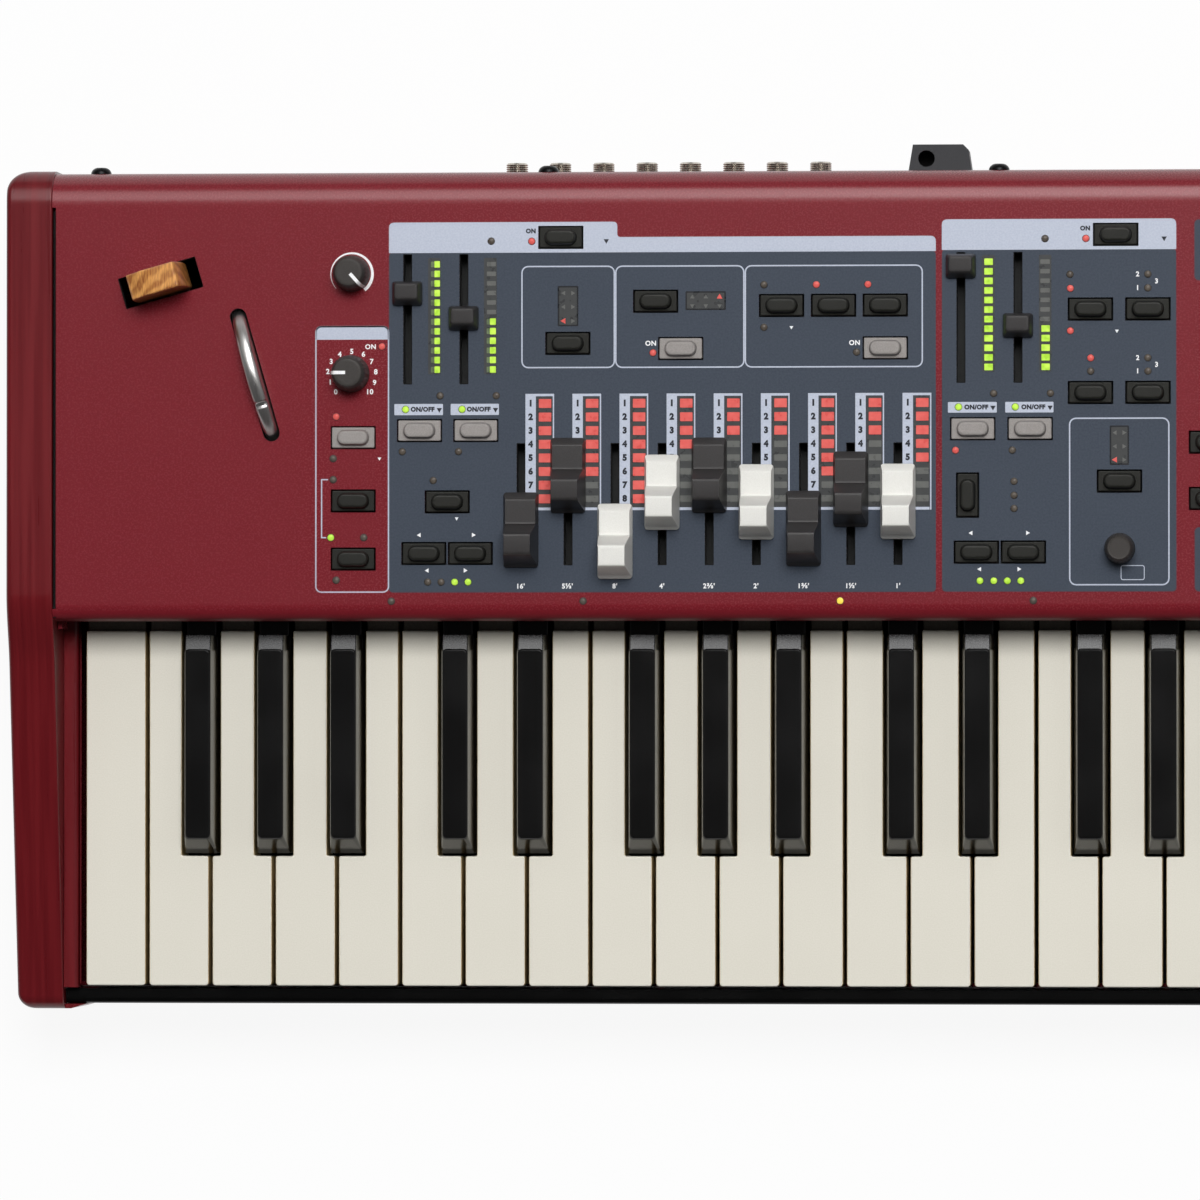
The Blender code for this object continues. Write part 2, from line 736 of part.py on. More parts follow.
def control_board():
    thick = board_thickness
    low = Vector((*from_left((97.5, 12))[0], board_top - thick))
    high = Vector((panel_half - 7.5 * MM, pan_rear - 14 * MM, board_top))
    made = place("control_board", boxes((low, high)), board_green())
    gaps = from_left((319.5, 0)) + from_right((481.5, 0), (236.5, 0))
    columns = [low.x + 6 * MM, *[gap.x for gap in gaps], high.x - 6 * MM]
    posts = [(x, y, 0) for x in columns for y in (low.y + 4 * MM, high.y - 3 * MM)]
    unite(made, rounds(2.5 * MM, board_top - thick / 2, under_panel - seat_gap, posts, 8))


def keymats():
    low = web_top - web_thickness
    colours = {"rotary": dark, "organ": dark, "piano": dark, "program": dark, "synth": grey, "effects": dark}
    for section, outline in webs.items():
        made = place(section + "_keymat", prism(outline, low, web_top), colours[section]())
        places = buttons[section]
        unite(made, button_boxes(places, button_size, low + web_thickness / 2, top + button_rise))
        unite(made, button_boxes(places, button_crown, top, top + button_rise + crown_rise))
        if section == "piano":
            spot = [vertical_button]
            unite(made, button_boxes(spot, button_size.yx, low + web_thickness / 2, top + button_rise))
            unite(made, button_boxes(spot, button_crown.yx, top, top + button_rise + crown_rise))


def drawbar(i):
    x = drawbar_x(i)
    y = drawbar_first.y + drawbar_rest[i]
    low = top + cap_lift
    edge = drawbar_lip_edge
    back, main, lip = drawbar_reach, drawbar_rise, drawbar_lip_rise
    near, far = -drawbar_lip_front, -drawbar_lip_rear
    outline = [(back, 0), (back - edge, main - 3 * edge), (back - 3 * edge, main), (0, main - 0.6 * edge)]
    outline += [(far + 0.8 * edge, lip - edge), (far, lip), (near, lip), (near - 0.8 * edge, lip - edge)]
    outline += [(-back, 2 * edge), (-back, 0)]
    half = drawbar_base_width / 2
    mesh = prism([(y + a, low + b) for a, b in reversed(outline)], x - half, x + half, "X")
    for vertex in mesh.vertices:
        shrink = drawbar_taper * (vertex.co.z - low)
        vertex.co.x += shrink if vertex.co.x < x else -shrink
    name = f"drawbar_{i + 1}"
    made = place(name, mesh, white_cap() if i + 1 in white_drawbars else dark())
    half_stem = slider_stem_width / 2
    long = drawbar_stem_length / 2
    unite(made, boxes(((x - half_stem, y - long, stem_bottom), (x + half_stem, y + long, low + 2 * edge))))


def fader(name, spot, shift):
    x, y = spot.x, spot.y + shift
    low = top + cap_lift
    half = fader_cap / 2
    cap = boxes(((x - half.x, y - half.y, low), (x + half.x, y + half.y, low + fader_cap.z)))
    for vertex in cap.vertices:
        if vertex.co.z > low + half.z:
            vertex.co.x += fader_bevel.x if vertex.co.x < x else -fader_bevel.x
            vertex.co.y += fader_bevel.y if vertex.co.y < y else -fader_bevel.y
    made = place(name, cap, black())
    half_stem = slider_stem_width / 2
    long = fader_stem_length / 2
    unite(made, boxes(((x - half_stem, y - long, stem_bottom), (x + half_stem, y + long, low + half.z))))


def knob(name, spot, radius, height):
    low = top + 2 * seat_gap
    high = low + height
    edge = 0.6 * MM
    profile = [(0, high), (radius - 2 * edge, high), (radius - edge, high - edge), (radius, low)]
    profile += [(shaft_radius, low), (shaft_radius, stem_bottom), (0, stem_bottom)]
    turned(name, profile, spot.to_3d(), dark(), 20)


def yoke(name, location, pivot_height, width, reach, hub):
    # A bent bracket that stands on the pan's floor and holds a pin across it
    wall = sheet
    inner = width / 2 + bracket_play
    outer = inner + wall
    low = floor_top + seat_gap
    outline = [(-outer, low), (outer, low), (outer, pivot_height + hub), (inner, pivot_height + hub)]
    outline += [(inner, low + wall), (-inner, low + wall), (-inner, pivot_height + hub), (-outer, pivot_height + hub)]
    made = place(name, prism(outline, -reach, reach, "Y"), steel())
    across = Matrix.Rotation(math.radians(90), 4, "Y")
    unite(made, rounds(pin_radius, -outer + wall / 2, outer - wall / 2, [(0, 0, pivot_height)], 12, across))
    made.location = location
    made.rotation_euler.z = tilt
    return made


def pitch_stick():
    pivot = top - stick_pivot_drop
    flare = stick_flare
    z1 = top + 1.5 * MM
    high = top + stick_rise
    outline = [(-flare + 0.8 * MM, high - 3 * MM), (-flare, z1), (-flare, under_panel - 3 * MM)]
    outline += arc((0, pivot), stick_hub_radius, 190, 350, 8)
    outline += [(flare, under_panel - 3 * MM), (flare, z1)]
    outline += [(flare - 0.4 * MM, z1 + 7 * MM), (flare - 1.2 * MM, high - 4 * MM), (flare - 2 * MM, high)]
    outline += [(-3.5 * MM, high)]
    made = place("pitch_stick", prism(outline, -stick_width / 2, stick_width / 2, "Y"), wood())
    across = Matrix.Rotation(math.radians(90), 4, "X")
    cut(made, rounds(pin_radius + seat_gap, -10 * MM, 10 * MM, [(0, 0, pivot)], 12, across))
    made.location = stick_place
    made.rotation_euler.z = tilt
    bracket = yoke("stick_bracket", stick_place, pivot, stick_width, 8 * MM, stick_hub_radius)
    bracket.rotation_euler.z = tilt + math.radians(90)


def mod_wheel():
    pivot = top - wheel_drop
    across = Matrix.Rotation(math.radians(90), 4, "Y")
    centre = [(0, 0, pivot)]
    made = place("mod_wheel", rounds(wheel_radius, -wheel_width / 2, wheel_width / 2, centre, 40, across), steel())
    cut(made, rounds(pin_radius + seat_gap, -10 * MM, 10 * MM, centre, 12, across))
    angle = wheel_notch_angle
    spot = (0, -wheel_radius * math.sin(angle), pivot + (wheel_radius + 0.8 * MM) * math.cos(angle))
    cut(made, rounds(wheel_notch_radius, -10 * MM, 10 * MM, [spot], 10, across))
    made.location = wheel_place
    made.rotation_euler.z = tilt
    yoke("wheel_bracket", wheel_place, pivot, wheel_width, 10 * MM, 8 * MM)


# Rear


def jack_board():
    left = jack_x(0) - jack_board_margin
    right = jack_x(jack_count - 1) + jack_board_margin
    board_low = jack_height - jack_board_drop
    case_front = pan_rear - sheet - jack_case_depth
    half = jack_case_width / 2
    case_rear = pan_rear - sheet - seat_gap
    board = ((left, case_front - 6 * MM, board_low), (right, case_rear - 1 * MM, board_low + board_thickness))
    made = place("jack_board", boxes(board), board_green())
    centres = [jack_x(i) for i in range(jack_count)]
    low = board_low + board_thickness / 2
    high = jack_height + jack_case_rise
    unite(made, boxes(*[((x - half, case_front, low), (x + half, case_rear, high)) for x in centres]))
    back = Matrix.Rotation(math.radians(-90), 4, "X")
    unite(made, wall_plate(jack_plate_left, jack_plate_right))
    mouths = [(x, pan_rear, jack_height) for x in centres]
    unite(made, rounds(jack_radius, -sheet - 3 * MM, jack_reach, mouths, 16, back))
    leg_low = floor_top + seat_gap
    legs = [((x, case_front, leg_low), (x + 8 * MM, case_front + 8 * MM, low)) for x in (left, right - 8 * MM)]
    unite(made, boxes(*legs))
    cut(made, rounds(jack_bore_radius, -24 * MM, jack_reach + 1 * MM, mouths, 12, back))


def power_unit():
    low_z = floor_top + seat_gap
    case_rear = pan_rear - sheet - seat_gap
    case_low = (inlet_x - supply_left, case_rear - supply_depth, low_z)
    case_high = (inlet_x + supply_right, case_rear, jack_height + supply_rise)
    made = place("power_unit", boxes((case_low, case_high)), steel())
    unite(made, wall_plate(inlet_x - inlet_plate_width / 2, inlet_x + inlet_plate_width / 2))
    half = inlet_size / 2
    inlet_low = (inlet_x - half.x, case_rear - 4 * MM, jack_height - half.y)
    unite(made, boxes((inlet_low, (inlet_x + half.x, pan_rear + 1.5 * MM, jack_height + half.y))))
    wall = inlet_wall
    socket_low = (inlet_x - half.x + wall, case_rear - inlet_depth, jack_height - half.y + wall)
    cut(made, boxes((socket_low, (inlet_x + half.x - wall, rear, jack_height + half.y - wall))))


def cable_anchor():
    half = anchor_width / 2
    near = pan_rear + seat_gap
    far = rear + anchor_reach
    edge = 2 * MM
    outline = [(-half, near), (half, near), (half - 1.5 * MM, far - edge), (half - 3.5 * MM, far), (-half + edge, far)]
    outline = [(anchor_x + x, y) for x, y in outline]
    made = place("cable_anchor", prism(outline, jack_height, jack_height + anchor_height), black())
    centre = [(anchor_x - half + anchor_hole_inset.x, far - anchor_hole_inset.y, 0)]
    cut(made, rounds(anchor_hole_radius, jack_height - 1 * MM, jack_height + anchor_height + 1 * MM, centre, 16))


def build():
    global parts, cutters
    clear_scene()
    parts = collection("stage_keyboard")
    cutters = collection("cutters")
    cheek("left_cheek", -1)
    cheek("right_cheek", 1)
    base_pan()
    key_slip()
    feet()
    key_frame()
    keys()
    top_panel()
    control_board()
    keymats()
    for i in range(len(drawbar_rest)):
        drawbar(i)
    for name, values in faders.items():
        fader(name, *values)
    for name, values in knobs.items():
        knob(name, *values)
    pitch_stick()
    mod_wheel()
    jack_board()
    power_unit()
    cable_anchor()


build()
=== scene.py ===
import math

import bmesh
import bpy
from mathutils import Matrix, Vector


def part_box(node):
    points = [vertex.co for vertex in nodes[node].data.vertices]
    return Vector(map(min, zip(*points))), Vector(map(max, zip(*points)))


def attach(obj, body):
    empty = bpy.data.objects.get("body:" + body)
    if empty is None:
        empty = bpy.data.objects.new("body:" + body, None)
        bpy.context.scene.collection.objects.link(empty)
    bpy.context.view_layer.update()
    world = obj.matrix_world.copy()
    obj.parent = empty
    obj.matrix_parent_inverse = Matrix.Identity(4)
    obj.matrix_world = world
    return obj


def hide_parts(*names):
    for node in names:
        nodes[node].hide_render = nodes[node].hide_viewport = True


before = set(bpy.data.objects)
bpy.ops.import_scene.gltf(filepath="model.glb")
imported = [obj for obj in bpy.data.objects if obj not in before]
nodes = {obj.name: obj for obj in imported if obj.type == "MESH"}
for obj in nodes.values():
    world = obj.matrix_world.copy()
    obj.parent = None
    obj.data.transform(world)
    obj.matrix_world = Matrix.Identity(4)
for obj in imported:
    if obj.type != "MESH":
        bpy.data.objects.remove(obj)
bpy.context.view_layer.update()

# Stage keyboard. Lengths in the dictionaries are millimetres, +X to the player's right, +Y to the rear.
mm = 0.001
scene = bpy.context.scene
panelLow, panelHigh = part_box("top_panel")
panelTop = panelHigh.z
keyLow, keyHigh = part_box("white_key_1")

# The photograph is 1200 pixels square. On the panel's surface a pixel stands for this many millimetres,
# and the point straight below the camera lies at this pixel, 82.1 mm in front of the origin.
photo = {"pixelsPerMm": 2.7292, "belowCameraX": 1449.5, "belowCameraY": 800, "cameraY": -82.1}


def spot(x, y):
    # A place on the panel, from its pixel in the photograph
    across = (x - photo["belowCameraX"]) / photo["pixelsPerMm"]
    back = (photo["belowCameraY"] - y) / photo["pixelsPerMm"] + photo["cameraY"]
    return Vector((across * mm, back * mm))


def fromLeft(x, y):
    # A place in millimetres from the panel's front left corner
    return Vector((panelLow.x + x * mm, panelLow.y + y * mm))


def fromRight(x, y):
    return Vector((panelHigh.x - x * mm, panelLow.y + y * mm))


# Camera, floor and light

# The photograph is part of a wider picture from straight above. A level camera would need its lens shifted far
# to one side, so this one is turned a little instead, from the seat at which its picture differs least.
view = {"seat": (-30, -60, 3664), "aim": (-313.7, -8.2, 64), "lens": 9786 / 1200, "sensor": 36}


def makeCamera():
    lens = bpy.data.cameras.new("camera")
    lens.sensor_width = view["sensor"]
    lens.lens = view["sensor"] * view["lens"]
    lens.clip_end = 50
    seat, aim = Vector(view["seat"]) * mm, Vector(view["aim"]) * mm
    back = (seat - aim).normalized()
    right = Vector((0, 1, 0)).cross(back).normalized()
    camera = bpy.data.objects.new("camera", lens)
    camera.matrix_world = Matrix.Translation(seat) @ Matrix((right, back.cross(right), back)).transposed().to_4x4()
    scene.collection.objects.link(camera)
    scene.camera = camera


studio = {
    "boxPlace": (300, 2608, 4341),
    "boxSize": (5400, 3550),
    "boxGlow": (6.6, 0.5),
    "boxReach": 2700,
    "keyPlace": (60, 1170, 4090),
    "keySize": (1700, 1300),
    "keyPower": 162,
    "skyLevel": 0.36,
    "skyFront": 0.26,
    "floorSize": 9000,
    "floorShadow": 0.08,
}


def areaLamp(name, place, size, power, aim):
    lamp = bpy.data.lights.new(name, "AREA")
    lamp.shape = "RECTANGLE"
    lamp.size, lamp.size_y = (side * mm for side in size)
    lamp.energy = power
    made = bpy.data.objects.new(name, lamp)
    made.location = Vector(place) * mm
    made.rotation_euler = (Vector(aim) * mm - made.location).to_track_quat("-Z", "Y").to_euler()
    scene.collection.objects.link(made)
    # The lamp has a polarising filter, as for copying work, so it lights the colours without a glare on them
    made.visible_glossy = False
    made.visible_camera = False


def addNode(tree, kind, inputs=None, **settings):
    node = tree.nodes.new(kind)
    for name, value in settings.items():
        setattr(node, name, value)
    for socket, value in (inputs or {}).items():
        if isinstance(value, bpy.types.NodeSocket):
            tree.links.new(value, node.inputs[socket])
        else:
            node.inputs[socket].default_value = value
    return node


def linear(hexColour):
    # sRGB hex to the linear values that Blender's sockets hold
    channels = [int(hexColour[i:i + 2], 16) / 255 for i in (1, 3, 5)]
    return [*(c / 12.92 if c <= 0.04045 else ((c + 0.055) / 1.055) ** 2.4 for c in channels), 1]


def whiteForCamera(tree):
    # 1 for camera, glossy and transmitted rays, so that mirrors and glass show the white background too
    path = addNode(tree, "ShaderNodeLightPath")
    first = addNode(tree, "ShaderNodeMath", {0: path.outputs["Is Camera Ray"], 1: path.outputs["Is Glossy Ray"]},
                    operation="MAXIMUM")
    return addNode(tree, "ShaderNodeMath", {0: first.outputs[0], 1: path.outputs["Is Transmission Ray"]},
                   operation="MAXIMUM").outputs[0]


def makeWorld():
    world = bpy.data.worlds.new("studio")
    scene.world = world
    world.use_nodes = True
    tree = world.node_tree
    tree.nodes.clear()
    # A pale ring round the table: dark overhead, where the camera stands, and weak in front.
    # The horizon is as white as the floor
    direction = addNode(tree, "ShaderNodeTexCoord").outputs["Generated"]
    height = addNode(tree, "ShaderNodeSeparateXYZ", {0: direction}).outputs["Z"]
    overhead = addNode(tree, "ShaderNodeMapRange", {
        "Value": height, "From Min": 0.97, "From Max": 0.8, "To Min": 0.05, "To Max": studio["skyLevel"],
    }).outputs["Result"]
    side = addNode(tree, "ShaderNodeVectorMath", {0: direction, 1: (0.2, 0.98, 0)}, operation="DOT_PRODUCT")
    turned = addNode(tree, "ShaderNodeMapRange", {
        "Value": side.outputs["Value"], "From Min": -0.6, "From Max": 0.4, "To Min": studio["skyFront"],
        "To Max": 1.0,
    }).outputs["Result"]
    low = addNode(tree, "ShaderNodeMapRange", {
        "Value": height, "From Min": 0.15, "From Max": 0.6, "To Min": 0.4, "To Max": 1.0,
    }).outputs["Result"]
    level = addNode(tree, "ShaderNodeMath", {0: overhead, 1: turned}, operation="MULTIPLY").outputs[0]
    level = addNode(tree, "ShaderNodeMath", {0: level, 1: low}, operation="MULTIPLY").outputs[0]
    soft = addNode(tree, "ShaderNodeBackground", {"Color": (1, 1, 1, 1), "Strength": level})
    white = addNode(tree, "ShaderNodeBackground", {"Color": (1, 1, 1, 1), "Strength": 1.0})
    horizon = addNode(tree, "ShaderNodeMath", {0: height, 1: 0.08}, operation="LESS_THAN").outputs[0]
    mirrored = addNode(tree, "ShaderNodeMath", {0: whiteForCamera(tree), 1: horizon}, operation="MULTIPLY")
    path = addNode(tree, "ShaderNodeLightPath")
    seen = addNode(tree, "ShaderNodeMath", {0: path.outputs["Is Camera Ray"], 1: mirrored.outputs[0]},
                   operation="MAXIMUM")
    mixed = addNode(tree, "ShaderNodeMixShader", {0: seen.outputs[0], 1: soft.outputs[0], 2: white.outputs[0]})
    addNode(tree, "ShaderNodeOutputWorld", {0: mixed.outputs[0]})


def makeSoftBox(aim):
    # A long soft box behind the table, brightest in its middle. It only makes the highlights:
    # the filtered lamp gives the light on the colours
    halfX, halfY = (side / 2 * mm for side in studio["boxSize"])
    mesh = bpy.data.meshes.new("softBox")
    mesh.from_pydata([(-halfX, -halfY, 0), (halfX, -halfY, 0), (halfX, halfY, 0), (-halfX, halfY, 0)], [],
                     [(0, 1, 2, 3)])
    box = bpy.data.objects.new("softBox", mesh)
    place = Vector(studio["boxPlace"]) * mm
    box.location = place
    box.rotation_euler = (Vector(aim) * mm - place).to_track_quat("-Z", "Y").to_euler()
    scene.collection.objects.link(box)
    look = bpy.data.materials.new("soft box cloth")
    look.use_nodes = True
    tree = look.node_tree
    tree.nodes.clear()
    across = addNode(tree, "ShaderNodeSeparateXYZ", {
        0: addNode(tree, "ShaderNodeTexCoord").outputs["Object"],
    }).outputs["X"]
    away = addNode(tree, "ShaderNodeMath", {0: across}, operation="ABSOLUTE").outputs[0]
    glow = addNode(tree, "ShaderNodeMapRange", {
        "Value": away, "From Min": 0.0, "From Max": studio["boxReach"] * mm, "To Min": studio["boxGlow"][0],
        "To Max": studio["boxGlow"][1],
    }, interpolation_type="SMOOTHSTEP").outputs["Result"]
    lit = addNode(tree, "ShaderNodeEmission", {"Color": (1, 1, 1, 1), "Strength": glow})
    addNode(tree, "ShaderNodeOutputMaterial", {0: lit.outputs[0]})
    mesh.materials.append(look)
    box.visible_camera = False
    box.visible_diffuse = False
    box.visible_shadow = False


def makeFloor():
    half = studio["floorSize"] / 2 * mm
    mesh = bpy.data.meshes.new("floor")
    mesh.from_pydata([(-half, -half, 0), (half, -half, 0), (half, half, 0), (-half, half, 0)], [], [(0, 1, 2, 3)])
    floor = bpy.data.objects.new("floor", mesh)
    scene.collection.objects.link(floor)
    look = bpy.data.materials.new("paper sweep")
    look.use_nodes = True
    tree = look.node_tree
    tree.nodes.clear()
    # Matt white paper: part of it glows white for the camera, the rest keeps the object's soft shadow
    paper = addNode(tree, "ShaderNodeBsdfDiffuse", {"Color": (0.82, 0.82, 0.82, 1)})
    glow = addNode(tree, "ShaderNodeEmission", {"Color": (1, 1, 1, 1), "Strength": 1.0})
    seen = addNode(tree, "ShaderNodeMath", {0: whiteForCamera(tree), 1: 1 - studio["floorShadow"]},
                   operation="MULTIPLY")
    mixed = addNode(tree, "ShaderNodeMixShader", {0: seen.outputs[0], 1: paper.outputs[0], 2: glow.outputs[0]})
    addNode(tree, "ShaderNodeOutputMaterial", {0: mixed.outputs[0]})
    mesh.materials.append(look)


def makeStudio():
    makeCamera()
    makeWorld()
    makeFloor()
    aim = (-100, 0, 90)
    makeSoftBox(aim)
    areaLamp("keyLamp", studio["keyPlace"], studio["keySize"], studio["keyPower"], aim)
    scene.view_settings.view_transform = "Standard"


makeStudio()
print("studio made")


# Materials

looks = {}


def newLook(name):
    look = bpy.data.materials.new(name)
    look.use_nodes = True
    tree = look.node_tree
    surface = tree.nodes["Principled BSDF"]
    place = addNode(tree, "ShaderNodeTexCoord").outputs["Object"]
    looks[name] = look
    return tree, surface, place


def shades(tree, factor, dark, light):
    mix = addNode(tree, "ShaderNodeMix", data_type="RGBA")
    tree.links.new(factor, mix.inputs[0])
    mix.inputs[6].default_value = linear(dark)
    mix.inputs[7].default_value = linear(light)
    return mix.outputs[2]


def grainOf(tree, place, size, stretch=(1, 1, 1), detail=2.0, turn=(0, 0, 0)):
    # Noise whose features are about this many millimetres wide, drawn out by the stretch
    mapped = addNode(tree, "ShaderNodeMapping", {
        "Vector": place, "Rotation": turn, "Scale": [1 / (size * mm * s) for s in stretch],
    })
    noise = addNode(tree, "ShaderNodeTexNoise", {"Vector": mapped.outputs[0], "Scale": 1.0, "Detail": detail})
    return noise.outputs["Fac"]


def spread(tree, value, low, high, fromLow=0.3, fromHigh=0.7):
    return addNode(tree, "ShaderNodeMapRange", {
        "Value": value, "From Min": fromLow, "From Max": fromHigh, "To Min": low, "To Max": high,
    }, interpolation_type="SMOOTHSTEP").outputs["Result"]


def relief(tree, surface, value, depth, strength=1.0):
    bump = addNode(tree, "ShaderNodeBump", {"Height": value, "Distance": depth * mm, "Strength": strength})
    tree.links.new(bump.outputs[0], surface.inputs["Normal"])


def grained(name, dark, light, grain, roughness, depth, ior=1.5, handled=25, **sockets):
    # Moulded or printed surface: a fine even grain, and gloss that changes a little where hands rub it
    tree, surface, place = newLook(name)
    fine = grainOf(tree, place, grain)
    wide = grainOf(tree, place, handled, detail=2.0)
    tree.links.new(shades(tree, spread(tree, fine, 0, 1), dark, light), surface.inputs["Base Color"])
    tree.links.new(spread(tree, wide, roughness - 0.02, roughness + 0.03), surface.inputs["Roughness"])
    relief(tree, surface, fine, depth)
    surface.inputs["IOR"].default_value = ior
    for socket, value in sockets.items():
        surface.inputs[socket.replace("_", " ")].default_value = value


def makeLooks():
    # Powder-coated steel: the baked powder leaves a fine pebbled skin that scatters the highlight.
    # Over the lip's edge, where hands rest, it is rubbed dull
    for name, gloss, rough in (
        ("powder-coated steel, red", 0.5, 0.25),
        ("powder-coated steel, red, rubbed", 0.1, 0.5),
    ):
        tree, surface, place = newLook(name)
        pebbles = grainOf(tree, place, 0.7)
        tree.links.new(shades(tree, spread(tree, pebbles, 0, 1), "#6D1721", "#751D26"), surface.inputs["Base Color"])
        tree.links.new(spread(tree, pebbles, rough + 0.01, rough + 0.03), surface.inputs["Roughness"])
        surface.inputs["Specular IOR Level"].default_value = gloss
        relief(tree, surface, pebbles, 0.008)

    # Beech, stained red and lacquered: long darker streaks and short pores show through the satin lacquer
    tree, surface, place = newLook("stained beech, satin lacquer")
    streaks = grainOf(tree, place, 2.2, (1, 40, 14), 4.0)
    pores = grainOf(tree, place, 0.5, (1, 14, 8), 3.0)
    stain = addNode(tree, "ShaderNodeMath", {0: spread(tree, streaks, 0, 0.92), 1: spread(tree, pores, 0, 0.08)},
                    operation="ADD").outputs[0]
    tree.links.new(shades(tree, stain, "#570C13", "#661319"), surface.inputs["Base Color"])
    tree.links.new(spread(tree, streaks, 0.27, 0.33), surface.inputs["Roughness"])
    surface.inputs["Specular IOR Level"].default_value = 0.4
    relief(tree, surface, pores, 0.003)

    # Urea moulding in ivory, polished on top. The flanks are blended to a darker yellow-brown by the way they face:
    # painted shade and bounced light in the gaps between the keys
    grained("moulded ivory key plastic", "#DBD7CA", "#E0DCD0", 0.5, 0.3, 0.001)
    tree = looks["moulded ivory key plastic"].node_tree
    base = tree.nodes["Principled BSDF"].inputs["Base Color"]
    facing = addNode(tree, "ShaderNodeSeparateXYZ", {0: addNode(tree, "ShaderNodeNewGeometry").outputs["Normal"]})
    sideways = addNode(tree, "ShaderNodeMath", {0: facing.outputs["X"]}, operation="ABSOLUTE").outputs[0]
    # Painted shade: the further a face turns sideways, the more of the darker yellow-brown it gets
    flankShade = spread(tree, sideways, 0, 1, 0.35, 0.85)
    mix = addNode(tree, "ShaderNodeMix", data_type="RGBA")
    tree.links.new(flankShade, mix.inputs[0])
    tree.links.new(base.links[0].from_socket, mix.inputs[6])
    mix.inputs[7].default_value = linear("#C0AA7C")
    tree.links.new(mix.outputs[2], base)
    # Phenolic black keys: near mirror gloss with very fine scratches that only the highlight shows
    grained("polished black key plastic", "#090909", "#0D0C0C", 0.8, 0.2, 0.002)
    # The same plastic on the rear slope, painted a lighter grey: a painted highlight where the slope would catch the
    # light
    grained("black key plastic, painted highlight", "#1C1C1D", "#242425", 0.5, 0.22, 0.001)
    # Key levers behind the caps: plain moulded plastic, not polished, brown-grey. The dark colour is partly painted
    # shade under the panel's lip
    grained("key lever plastic, painted shade", "#5E574E", "#6B645A", 0.6, 0.55, 0.004)
    # Satin lacquer on the slip: deep black, a soft highlight along the edge
    grained("satin black lacquer", "#030303", "#060606", 0.6, 0.25, 0.003, Specular_IOR_Level=0.2)
    # Screen-printed fields: matt ink with a faint mottle from the mesh
    grained("slate screen print", "#373E49", "#3E4550", 0.7, 0.4, 0.006, Specular_IOR_Level=0.25)
    grained("pale screen print", "#B2B9C9", "#BDC3D1", 0.7, 0.4, 0.004, Specular_IOR_Level=0.25)
    grained("white screen print", "#E8E8EA", "#F2F2F2", 0.5, 0.5, 0.002)
    grained("dark screen print", "#22242B", "#2B2D34", 0.5, 0.4, 0.002, Specular_IOR_Level=0.25)
    # Silicone rubber caps: moulded, with a soft dusty bloom
    grained("dark silicone rubber", "#171714", "#1D1D19", 0.5, 0.45, 0.01, ior=1.41, Specular_IOR_Level=0.4)
    grained("grey silicone rubber", "#8B8683", "#95908D", 0.5, 0.5, 0.01, ior=1.41, Specular_IOR_Level=0.4)
    # ABS caps: spark-eroded mould texture, softer gloss on the white ones
    grained("spark-textured dark ABS", "#272525", "#302E2E", 0.35, 0.42, 0.012, ior=1.54, Specular_IOR_Level=0.35)
    grained("spark-textured white ABS", "#D9D8D2", "#E0DFDA", 0.35, 0.42, 0.008, ior=1.54, Specular_IOR_Level=0.3)
    grained("soft-touch knob rubber", "#33302E", "#3B3836", 0.4, 0.5, 0.012, Specular_IOR_Level=0.3)
    grained("moulded black nylon", "#1B1C1F", "#26272A", 0.4, 0.5, 0.015, ior=1.53)
    grained("black foot rubber", "#121212", "#1C1C1C", 0.8, 0.85, 0.04, ior=1.52)
    # Black felt: painted shade, for liners, strips and discs put where slots and holes are in shade
    grained("black felt, painted shade", "#060606", "#0C0B0B", 0.4, 0.95, 0.05)
    grained("glass-fibre laminate", "#10351C", "#18482A", 0.9, 0.45, 0.01, ior=1.55)
    # The control board's laminate is black, painted shade, so that no colour shows through the slots
    grained("black laminate, painted shade", "#0C0D0D", "#131414", 0.9, 0.5, 0.01, ior=1.55)
    # Smoked acrylic over the display: dark and glossy
    grained("smoked display glass", "#101418", "#14191E", 6.0, 0.08, 0.001, ior=1.49)

    # Satin turned steel: fine circular tool marks pull the highlight along the rim
    for name, dark, light, rough in (
        ("satin turned steel", "#C3C1BF", "#CFCDCB", 0.3),
        ("zinc-plated steel", "#8F9092", "#A9AAAC", 0.38),
        ("nickel-plated brass", "#B5AFA6", "#D8D2C8", 0.2),
        ("black oxide steel", "#1A1A1B", "#2A2A2B", 0.32),
        # Black steel: painted shade for the key frame and the brackets, which are seen only down the gaps and slots
        ("black steel, painted shade", "#0B0B0B", "#151414", 0.55),
    ):
        tree, surface, place = newLook(name)
        marks = grainOf(tree, place, 0.25, (1, 20, 20), 2.0)
        tree.links.new(shades(tree, spread(tree, marks, 0, 1), dark, light), surface.inputs["Base Color"])
        tree.links.new(spread(tree, marks, rough - 0.02, rough + 0.03), surface.inputs["Roughness"])
        surface.inputs["Metallic"].default_value = 0.0 if name == "black steel, painted shade" else 1.0
        if name != "satin turned steel":
            relief(tree, surface, marks, 0.0003)

